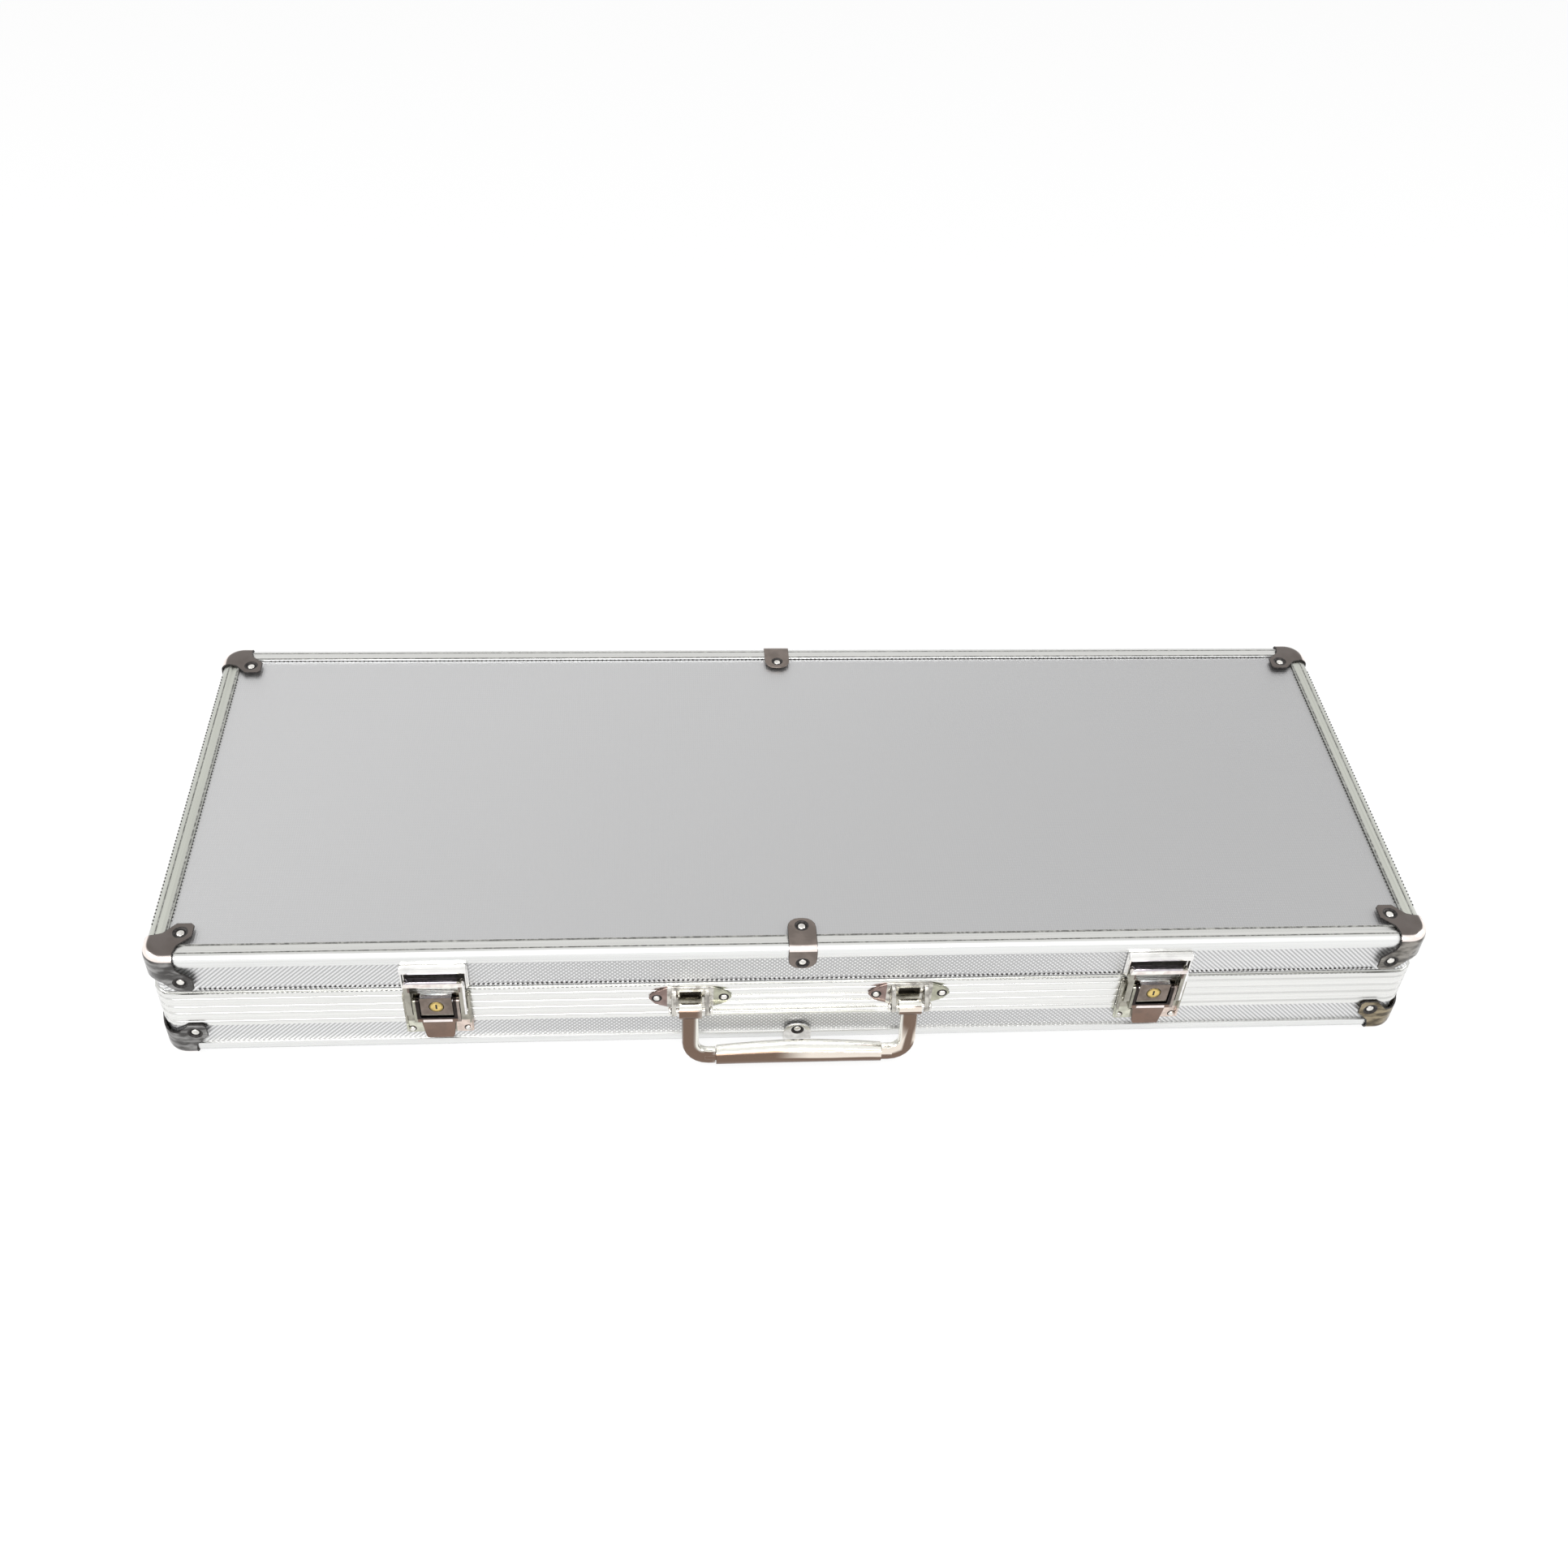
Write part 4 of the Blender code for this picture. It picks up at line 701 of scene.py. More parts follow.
# Painted light on the brackets: reflections on the ears and a near-black shadow in the middle behind the
# handle's knuckle.
BRACKET = ZonedPlating("bracket_plating", (0.64, 0.62, 0.57), 0.12, cloud=230.0, depth=0.6,
                       middle=0.0485, zones=(
    Zone((0.27, 0.195, 0.175), (-0.0190, -0.0102), (0.0270, 0.0400)),
    Zone((0.43, 0.43, 0.34), (0.0102, 0.0190), (0.0270, 0.0400)),
    Zone((0.030, 0.026, 0.022), (-0.0048, 0.0048), (0.0330, 0.0372))))
# The handle's tones are painted reflections.
HANDLE = HandlePlating("handle_plating", (0.86, 0.85, 0.79), 0.14, dark_reflection=(0.190, 0.130, 0.098))
# Near-white painted highlight plating for the rivet domes and the handle pins.
RIVET = Plating("rivet_plating", (0.84, 0.82, 0.78), 0.12, cloud=420.0, depth=0.3)
BRASS = TurnedBrass("lock_brass", (0.80, 0.60, 0.22), 0.26)
HINGE = BrushedSteel("hinge_steel", (0.58, 0.57, 0.55), 0.28)
FLOCK = Nap("tray_flock", (0.016, 0.016, 0.018), 0.92, 0.0)
FOAM = Nap("pad_foam", (0.030, 0.030, 0.033), 0.9, 0.0, fibre=900.0, height=0.0005, sheen=0.25)
# Near-black painted shade for dishes, rivet rings, slots and dark outlines on rounded edges.
DARK = Recess("dark_recess", (0.030, 0.027, 0.026), 0.4, 0.6)


# Meshes and pieces

def linked(name: str, mesh: bpy.types.Mesh) -> bpy.types.Object:
    """Link an object at the origin.

    Args:
        name: Name of the piece.
        mesh: Its mesh, with its place in it.

    Returns:
        The object.
    """
    piece = bpy.data.objects.new(name, mesh)
    bpy.context.scene.collection.objects.link(piece)
    return piece


def dress(piece: bpy.types.Object, *finishes: Finish) -> None:
    """Put finishes in an object's material slots.

    Args:
        piece: The object.
        finishes: One finish for each slot.
    """
    piece.data.materials.clear()
    for finish in finishes:
        piece.data.materials.append(finish.material())


def smooth(piece: bpy.types.Object, angle: float = SHARP_ANGLE) -> None:
    """Shade an object smooth and keep its sharp edges."""
    piece.data.shade_smooth()
    piece.data.set_sharp_from_angle(angle=angle)


def baked(piece: bpy.types.Object) -> bpy.types.Object:
    """Turn an object's modifiers into its mesh.

    Args:
        piece: The object.

    Returns:
        The same object with no modifiers left.
    """
    graph = bpy.context.evaluated_depsgraph_get()
    mesh = bpy.data.meshes.new_from_object(piece.evaluated_get(graph))
    piece.modifiers.clear()
    piece.data = mesh
    return piece


def merged_copy(node: str) -> bpy.types.Mesh:
    """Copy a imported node's mesh, with its triangles joined into flat faces.

    Args:
        node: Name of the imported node.

    Returns:
        The new mesh.
    """
    bm = bmesh.new()
    bm.from_mesh(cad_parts[node].data)
    bmesh.ops.remove_doubles(bm, verts=bm.verts, dist=MERGE_DISTANCE)
    bmesh.ops.dissolve_limit(bm, angle_limit=FLAT_ANGLE, verts=bm.verts, edges=bm.edges)
    mesh = bpy.data.meshes.new(node + "_finished")
    bm.to_mesh(mesh)
    bm.free()
    return mesh


def rounded_edges(piece: bpy.types.Object, width: float, slot: int = -1) -> None:
    """Round an object's sharp edges.

    Args:
        piece: The object.
        width: Width of the rounding.
        slot: Material slot of the rounded edges, or -1 for that of the faces by them.
    """
    modifier = piece.modifiers.new("Rounding", 'BEVEL')
    modifier.width = width
    modifier.segments = 2
    modifier.material = slot
    modifier.limit_method = 'ANGLE'
    modifier.angle_limit = SHARP_ANGLE
    modifier.use_clamp_overlap = True
    modifier.harden_normals = False
    baked(piece)


def cutter(name: str, mesh: bpy.types.Mesh, slot: int = 1) -> bpy.types.Object:
    """Link a shape that only cuts or joins.

    Args:
        name: Name of the shape.
        mesh: Its mesh.
        slot: Material slot of the faces that it leaves.

    Returns:
        The shape.
    """
    shape = linked(name, mesh)
    shape.hide_render = True
    # Slot 1 is near black, so the faces that a cutter leaves become painted shade.
    dress(shape, PLATE, DARK)
    for polygon in mesh.polygons:
        polygon.material_index = slot
    return shape


def cut(target: bpy.types.Object, shapes: list[bpy.types.Object], operation: str = 'DIFFERENCE') -> None:
    """Give an object a boolean modifier for each shape.

    Args:
        target: The object.
        shapes: Shapes that cut it or join it.
        operation: DIFFERENCE, UNION or INTERSECT.
    """
    for shape in shapes:
        modifier = target.modifiers.new(shape.name, 'BOOLEAN')
        modifier.operation = operation
        modifier.object = shape


def seat(piece: bpy.types.Object, body: str, slot: Slot, *nodes: str) -> None:
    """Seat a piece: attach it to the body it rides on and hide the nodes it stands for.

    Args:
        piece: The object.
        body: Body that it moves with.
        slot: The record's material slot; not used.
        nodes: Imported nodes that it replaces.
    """
    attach(piece, body)
    if nodes:
        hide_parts(*nodes)
    LOG.info("%s rides on %s with %d faces", piece.name, body, len(piece.data.polygons))


def refined(node: str, body: str, slot: Slot, finish: Finish, edge: float = 0.0,
            outline: Finish | None = None) -> bpy.types.Object:
    """Stand-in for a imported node, with its edges rounded and its faces smoothed.

    Args:
        node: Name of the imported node.
        body: Body that it moves with.
        slot: The record's material slot.
        finish: Its finish.
        edge: Width of the edge rounding, or 0 for none.
        outline: Finish of the rounded edges, if they have their own.

    Returns:
        The new piece.
    """
    piece = linked(node + "_dressed", merged_copy(node))
    dress(piece, finish, *([outline] if outline else []))
    if edge:
        rounded_edges(piece, edge, 1 if outline else -1)
    smooth(piece)
    seat(piece, body, slot, node)
    return piece


def arc(centre: tuple[float, float], radius: float, start: float, sweep: float, steps: int) -> Outline:
    """Points of an arc with both ends, which starts at an angle and covers another."""
    return [(centre[0] + radius * cos(start + sweep * step / steps),
             centre[1] + radius * sin(start + sweep * step / steps)) for step in range(steps + 1)]


def circle(centre: tuple[float, float], radius: float, sides: int = DISH_SIDES) -> Outline:
    """Points of a circle in order."""
    return arc(centre, radius, 0.0, FULL_TURN, sides)[:-1]


def lifted(outline: Outline, axis: int, depth: float) -> list[Point]:
    """Flat outline set at a depth along one axis."""
    return [(*point[:axis], depth, *point[axis:]) for point in outline]


def loft(rings: list[list[Point]], name: str) -> bpy.types.Mesh:
    """Skin rings that have equal numbers of points and cap both ends.

    Args:
        rings: The rings in order.
        name: Name of the mesh.

    Returns:
        A closed mesh with its faces pointing out.
    """
    bm = bmesh.new()
    rows = [[bm.verts.new(point) for point in ring] for ring in rings]
    for here, there in zip(rows, rows[1:]):
        for index in range(len(here)):
            after = (index + 1) % len(here)
            bm.faces.new((here[index], here[after], there[after], there[index]))
    bm.faces.new(rows[0])
    bm.faces.new(rows[-1])
    bmesh.ops.recalc_face_normals(bm, faces=bm.faces)
    mesh = bpy.data.meshes.new(name)
    bm.to_mesh(mesh)
    bm.free()
    return mesh


def lofted(name: str, rings: list[list[Point]], finish: Finish, body: str, slot: Slot, *nodes: str,
           rounded: bool = False) -> None:
    """Make, dress and seat a piece that is skinned over rings.

    Args:
        name: Name of the piece.
        rings: Its rings in order.
        finish: Its finish.
        body: Body that it moves with.
        slot: The record's material slot.
        nodes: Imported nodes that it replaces.
        rounded: Whether its faces are shaded smooth.
    """
    piece = linked(name, loft(rings, name))
    dress(piece, finish)
    if rounded:
        smooth(piece)
    seat(piece, body, slot, *nodes)


def node_middle(node: str) -> Vector:
    """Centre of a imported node's box."""
    low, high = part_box(node)
    return (low + high) / 2


def face_depth(node: str, height: float, side: Side = Side.FRONT) -> float:
    """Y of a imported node's outermost points on the front or back, at a height where it has some.

    Args:
        node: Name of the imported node.
        height: Height above the table.
        side: FRONT or BACK.

    Returns:
        That Y.
    """
    sign = side.value[1]
    level = [vert.co.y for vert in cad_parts[node].data.vertices
             if abs(vert.co.z - height) < MERGE_DISTANCE]
    return sign * max(sign * depth for depth in level)


# Repeated parts made by node trees

@dataclass(frozen=True)
class Rivet:
    """One rivet: its place, outward direction and body."""

    place: Point
    outward: Point
    body: str


@dataclass(frozen=True)
class RivetKind:
    """Rivets of one size: what they hold, dome radius, radius of the dark ring and dome height."""

    name: str
    dome: float
    ring: float
    height: float


class RowTree(NodeMaker):
    """Node tree that sets one shape on every point of its input and gives it two finishes."""

    def __init__(self, name: str, sizes: dict[str, float]) -> None:
        """Start a tree with its named inputs.

        Args:
            name: Name of the tree.
            sizes: Name and default value of each size.
        """
        super().__init__(bpy.data.node_groups.new(name, 'GeometryNodeTree'))
        self.socket("Geometry", 'NodeSocketGeometry', 'OUTPUT')
        self.socket("Points", 'NodeSocketGeometry')
        for size, start in sizes.items():
            kind = 'NodeSocketInt' if isinstance(start, int) else 'NodeSocketFloat'
            self.socket(size, kind).default_value = start
        for finish in ("Dome Finish", "Ring Finish"):
            self.socket(finish, 'NodeSocketMaterial')
        self.source = self.add("NodeGroupInput")
        self.result = self.add("NodeGroupOutput")

    def socket(self, name: str, kind: str, way: str = 'INPUT') -> bpy.types.NodeTreeInterfaceSocket:
        """Add a named input or output."""
        return self.tree.interface.new_socket(name=name, in_out=way, socket_type=kind)

    def given(self, name: str) -> Socket:
        """What comes in through a named input."""
        return self.source.outputs[name]

    def finished(self, shape: Socket, turn: Socket, points: Socket) -> bpy.types.NodeTree:
        """End the tree: copies on the points, made real, with their finishes.

        Args:
            shape: Shape to repeat, whose dome faces carry the attribute named dome.
            turn: Rotation of each copy.
            points: Where the copies go.

        Returns:
            The whole tree.
        """
        scatter = self.add("GeometryNodeInstanceOnPoints", {"Points": points, "Instance": shape,
                                                            "Rotation": turn})
        real = self.add("GeometryNodeRealizeInstances", {0: scatter.outputs[0]})
        shade = self.add("GeometryNodeSetShadeSmooth", {0: real.outputs[0]})
        ring = self.add("GeometryNodeSetMaterial", {"Geometry": shade.outputs[0],
                                                    "Material": self.given("Ring Finish")})
        chosen = self.add("GeometryNodeInputNamedAttribute", {"Name": "dome"}, data_type='BOOLEAN')
        dome = self.add("GeometryNodeSetMaterial", {"Geometry": ring.outputs[0],
                                                    "Selection": chosen.outputs["Attribute"],
                                                    "Material": self.given("Dome Finish")})
        self.put(self.result.inputs[0], dome.outputs[0])
        return self.tree


def rivet_tree() -> bpy.types.NodeTree:
    """Tree of domed rivets with painted highlight domes, each in a dark ring of painted shade.

    Returns:
        The node tree, whose points carry their outward direction as the attribute facing.
    """
    row = RowTree("domed_rivets", {"Dome Radius": 0.0021, "Dome Height": 0.0007, "Ring Radius": 0.003,
                                   "Ring Depth": 0.0001, "Sides": 28})
    radius = row.given("Dome Radius")
    sphere = row.add("GeometryNodeMeshUVSphere", {"Radius": radius, "Segments": row.given("Sides"),
                                                  "Rings": 14})
    ratio = row.add("ShaderNodeMath", {0: row.given("Dome Height"), 1: radius}, operation='DIVIDE')
    scale = row.add("ShaderNodeCombineXYZ", {0: 1.0, 1: 1.0, 2: ratio.outputs[0]})
    flat = row.add("GeometryNodeTransform", {"Geometry": sphere.outputs["Mesh"], "Scale": scale.outputs[0]})
    mark = row.add("GeometryNodeStoreNamedAttribute", {"Name": "dome", "Value": True,
                                                       "Geometry": flat.outputs[0]},
                   data_type='BOOLEAN', domain='FACE')
    ring = row.add("GeometryNodeMeshCylinder", {"Vertices": row.given("Sides"),
                                                "Radius": row.given("Ring Radius"),
                                                "Depth": row.given("Ring Depth")})
    join = row.add("GeometryNodeJoinGeometry", {0: mark.outputs[0]})
    row.put(join.inputs[0], ring.outputs["Mesh"])
    facing = row.add("GeometryNodeInputNamedAttribute", {"Name": "facing"}, data_type='FLOAT_VECTOR')
    turn = row.add("FunctionNodeAlignRotationToVector", {"Vector": facing.outputs["Attribute"]}, axis='Z')
    return row.finished(join.outputs[0], turn.outputs[0], row.given("Points"))


def pip_tree() -> bpy.types.NodeTree:
    """Tree of a pricked line: flat oval pips at an even pitch along its input's edges.

    Returns:
        The node tree.
    """
    row = RowTree("pricked_line", {"Pitch": 0.0021, "Pip Length": 0.0011, "Pip Width": 0.0005,
                                   "Pip Height": 0.0005})
    curve = row.add("GeometryNodeMeshToCurve", {0: row.given("Points")})
    spread = row.add("GeometryNodeCurveToPoints", {"Curve": curve.outputs[0], "Length": row.given("Pitch")},
                     mode='LENGTH')
    pip = row.add("GeometryNodeMeshUVSphere", {"Segments": 6, "Rings": 4, "Radius": 0.5})
    size = row.add("ShaderNodeCombineXYZ", {0: row.given("Pip Width"), 1: row.given("Pip Height"),
                                            2: row.given("Pip Length")})
    shape = row.add("GeometryNodeTransform", {"Geometry": pip.outputs["Mesh"], "Scale": size.outputs[0]})
    return row.finished(shape.outputs[0], spread.outputs["Rotation"], spread.outputs["Points"])


def grown(name: str, tree: bpy.types.NodeTree, source: bpy.types.Mesh,
          values: dict[str, object]) -> bpy.types.Object:
    """Run a node tree on a mesh and keep the result as a plain mesh.

    Args:
        name: Name of the piece.
        tree: The node tree.
        source: Points or edges that it works on.
        values: Its inputs by name.

    Returns:
        The finished piece.
    """
    piece = linked(name, source)
    modifier = piece.modifiers.new("Rows", 'NODES')
    modifier.node_group = tree
    for item in tree.interface.items_tree:
        if item.in_out == 'INPUT' and item.name in values:
            modifier[item.identifier] = values[item.name]
    return baked(piece)


def rivet_points(name: str, rivets: list[Rivet]) -> bpy.types.Mesh:
    """Mesh of loose points that carry their rivets' outward directions.

    Args:
        name: Name of the mesh.
        rivets: The rivets.

    Returns:
        The mesh.
    """
    mesh = bpy.data.meshes.new(name)
    mesh.from_pydata([rivet.place for rivet in rivets], [], [])
    facing = mesh.attributes.new("facing", 'FLOAT_VECTOR', 'POINT')
    for item, rivet in zip(facing.data, rivets):
        item.vector = rivet.outward
    return mesh


def traced_lines(name: str, lines: list[Line]) -> bpy.types.Mesh:
    """Mesh of loose straight edges.

    Args:
        name: Name of the mesh.
        lines: Both ends of each line.

    Returns:
        The mesh.
    """
    mesh = bpy.data.meshes.new(name)
    points = [point for line in lines for point in line]
    mesh.from_pydata(points, [(2 * index, 2 * index + 1) for index in range(len(lines))], [])
    return mesh


def rivet_pair(node: str, spread: float, depth: float, height: float, side: Side, body: str) -> list[Rivet]:
    """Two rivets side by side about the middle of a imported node.

    Args:
        node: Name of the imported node.
        spread: How far each is from the middle.
        depth: Y of the face that they sit on.
        height: Height above the table.
        side: Side of the case that they look to.
        body: Body that they move with.

    Returns:
        The rivets.
    """
    middle = node_middle(node).x
    outward = (float(side.value[0]), float(side.value[1]), 0.0)
    return [Rivet((middle + offset, depth, height), outward, body) for offset in (-spread, spread)]


@dataclass
class Rivets:
    """All domed rivets, one piece for each body and kind."""

    tree: bpy.types.NodeTree

    def build(self, kind: RivetKind, rivets: list[Rivet]) -> None:
        """Set the rivets of one kind.

        Args:
            kind: Their sizes.
            rivets: Their places.
        """
        for body in sorted({rivet.body for rivet in rivets}):
            label = kind.name + "_rivets_" + body
            points = rivet_points(label, [rivet for rivet in rivets if rivet.body == body])
            # Painted light: near-white highlight domes in near-black rings of shade.
            values = {"Dome Radius": kind.dome, "Ring Radius": kind.ring, "Dome Height": kind.height,
                      "Dome Finish": RIVET.material(), "Ring Finish": DARK.material()}
            seat(grown(label, self.tree, points, values), body, Slot.CHROME)


# The case's plan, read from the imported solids

@dataclass
class CasePlan:
    """Places that the sub-assemblies share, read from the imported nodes."""

    low: Vector
    high: Vector
    skin: float = 0.0011

    @classmethod
    def from_frame(cls) -> "CasePlan":
        """Read the outer box over the corner plates."""
        return cls(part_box("base_corner_plate_front_left")[0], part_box("lid_corner_plate_back_right")[1])

    @property
    def middle(self) -> Vector:
        """Centre of the case."""
        return (self.low + self.high) / 2

    @property
    def half(self) -> Vector:
        """Half sizes of the case over its plates."""
        return (self.high - self.low) / 2


# Shell

@dataclass
class Shell:
    """Boards, edge profiles and rim frames of both halves."""

    plan: CasePlan
    profile_edge: float = 0.00012
    rim_edge: float = 0.00015
    pip_pitch: float = 0.0021
    seam_pip: tuple[float, float] = (0.00125, 0.00075)
    panel_pip: tuple[float, float] = (0.001, 0.00055)
    seam_line_height: float = 0.0423
    pip_end: float = 0.022
    panel_pip_end: float = 0.024
    panel_pip_gap: float = 0.0003
    board_inset: float = 0.00095
    flange: float = 0.0084
    edge_drop: float = 0.0008
    bead_heights: tuple[float, float] = (0.0062, 0.00685)
    bead_insets: tuple[float, float] = (0.00193, 0.00217)
    bead_end: float = 0.0115
    groove_inset: float = 0.0032
    groove_width: float = 0.0004
    groove_sink: float = 0.0006
    groove_proud: float = 0.00008
    border_width: float = 0.0011
    line_end: float = 0.0146

    def boards(self) -> None:
        """Refine the wall boards and panels."""
        for half in Half:
            for side in Side:
                refined(half.body + "_wall_" + side.label, half.body, Slot.BOARD, WALL)
        refined("bottom_panel", "base", Slot.BOARD, PANEL)
        refined("lid_top_panel", "lid", Slot.BOARD, PANEL)

    def frames(self) -> None:
        """Refine the edge profiles and rim frames."""
        for prefix, body in (("bottom_profile_", "base"), ("top_profile_", "lid")):
            for side in Side:
                finish = PROFILE_CROSS if side in ENDS else PROFILE_LONG
                refined(prefix + side.label, body, Slot.ALUMINIUM, finish, self.profile_edge)
        for half in Half:
            refined(half.body + "_rim_frame", half.body, Slot.ALUMINIUM, RIM, self.rim_edge)

    def side_line(self, side: Side, inset: float, height: float, shorten: float) -> Line:
        """Ends of a level line along one side.

        Args:
            side: Which side.
            inset: How far in from the plates' outer face.
            height: Height above the table.
            shorten: How far each end stays from the corner.

        Returns:
            Both ends.
        """
        across, deep = side.value
        half, middle = self.plan.half, self.plan.middle
        out = Vector((across * (half.x - inset), deep * (half.y - inset), 0.0))
        along = Vector((abs(deep) * (half.x - shorten), abs(across) * (half.y - shorten), 0.0))
        base = Vector((middle.x, middle.y, height)) + out
        return tuple(base - along), tuple(base + along)

    def pricks(self, name: str, tree: bpy.types.NodeTree, lines: list[Line],
               pip: tuple[float, float]) -> None:
        """Prick dark lines in the lid.

        Args:
            name: Name of the piece.
            tree: Node tree of the pricked line.
            lines: The lines.
            pip: Length and width of a pip.
        """
        values = {"Pitch": self.pip_pitch, "Dome Finish": DARK.material(), "Ring Finish": DARK.material(),
                  "Pip Length": pip[0], "Pip Width": pip[1], "Pip Height": pip[1]}
        seat(grown(name, tree, traced_lines(name, lines), values), "lid", Slot.ALUMINIUM)

    def pricked_lines(self, tree: bpy.types.NodeTree) -> None:
        """Add the dark pricked lines by the seam, round the top panel and along the ends.

        Args:
            tree: Node tree of the pricked line.
        """
        wall = self.plan.skin + self.board_inset
        seam = [self.side_line(side, wall, self.seam_line_height, self.pip_end) for side in Side]
        edge = self.plan.skin + self.flange + self.panel_pip_gap
        panel_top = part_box("lid_top_panel")[1].z
        border = [self.side_line(side, edge, panel_top, self.panel_pip_end) for side in Side]
        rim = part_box("top_profile_left")[1].z - self.edge_drop
        border += [self.side_line(side, self.plan.skin + self.edge_drop, rim, self.pip_end) for side in ENDS]
        self.pricks("seam_pricks", tree, seam, self.seam_pip)
        self.pricks("panel_pricks", tree, border, self.panel_pip)

    def strip(self, name: str, side: Side, insets: tuple[float, float], heights: tuple[float, float],
              shorten: float, finish: Finish, body: str) -> None:
        """Lay a square strip along one side.

        Args:
            name: Start of the piece's name.
            side: Which side.
            insets: Its outer and inner faces, in from the plates' outer face.
            heights: Its lower and upper faces.
            shorten: How far each end stays from the corner.
            finish: Its finish.
            body: Body that it moves with.
        """
        corners = ((insets[0], heights[0]), (insets[1], heights[0]), (insets[1], heights[1]),
                   (insets[0], heights[1]))
        rings = [[self.side_line(side, inset, height, shorten)[end] for inset, height in corners]
                 for end in range(2)]
        lofted(name + "_" + side.label, rings, finish, body, Slot.ALUMINIUM)

    def strips(self) -> None:
        """Fill the slit above each bottom profile, and lay dark strips of painted shade in the groove of each
        top flange and along the top panel's border.
        """
        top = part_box("top_profile_left")[1].z
        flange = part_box("top_profile_left")[1].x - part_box("lid_corner_plate_front_left")[0].x
        inset = self.plan.skin + self.groove_inset
        groove = (inset, inset + self.groove_width)
        border = (flange - self.border_width, flange - self.border_width / 4)
        sunk = (top - self.groove_sink, top + self.groove_proud)
        for side in Side:
            self.strip("sealing_bead", side, self.bead_insets, self.bead_heights, self.bead_end,
                       PROFILE_LONG, "base")
            # Dark strips of painted shade along the flange groove and the panel's border.
            self.strip("flange_line", side, groove, sunk, self.line_end, SHADE_LINE, "lid")
            self.strip("panel_line", side, border, sunk, self.line_end, SHADE_LINE, "lid")

    def build(self, tree: bpy.types.NodeTree) -> None:
        """Make the whole shell.

        Args:
            tree: Node tree of the pricked line.
        """
        self.boards()
        self.frames()
        self.pricked_lines(tree)
        self.strips()


# Corner plates

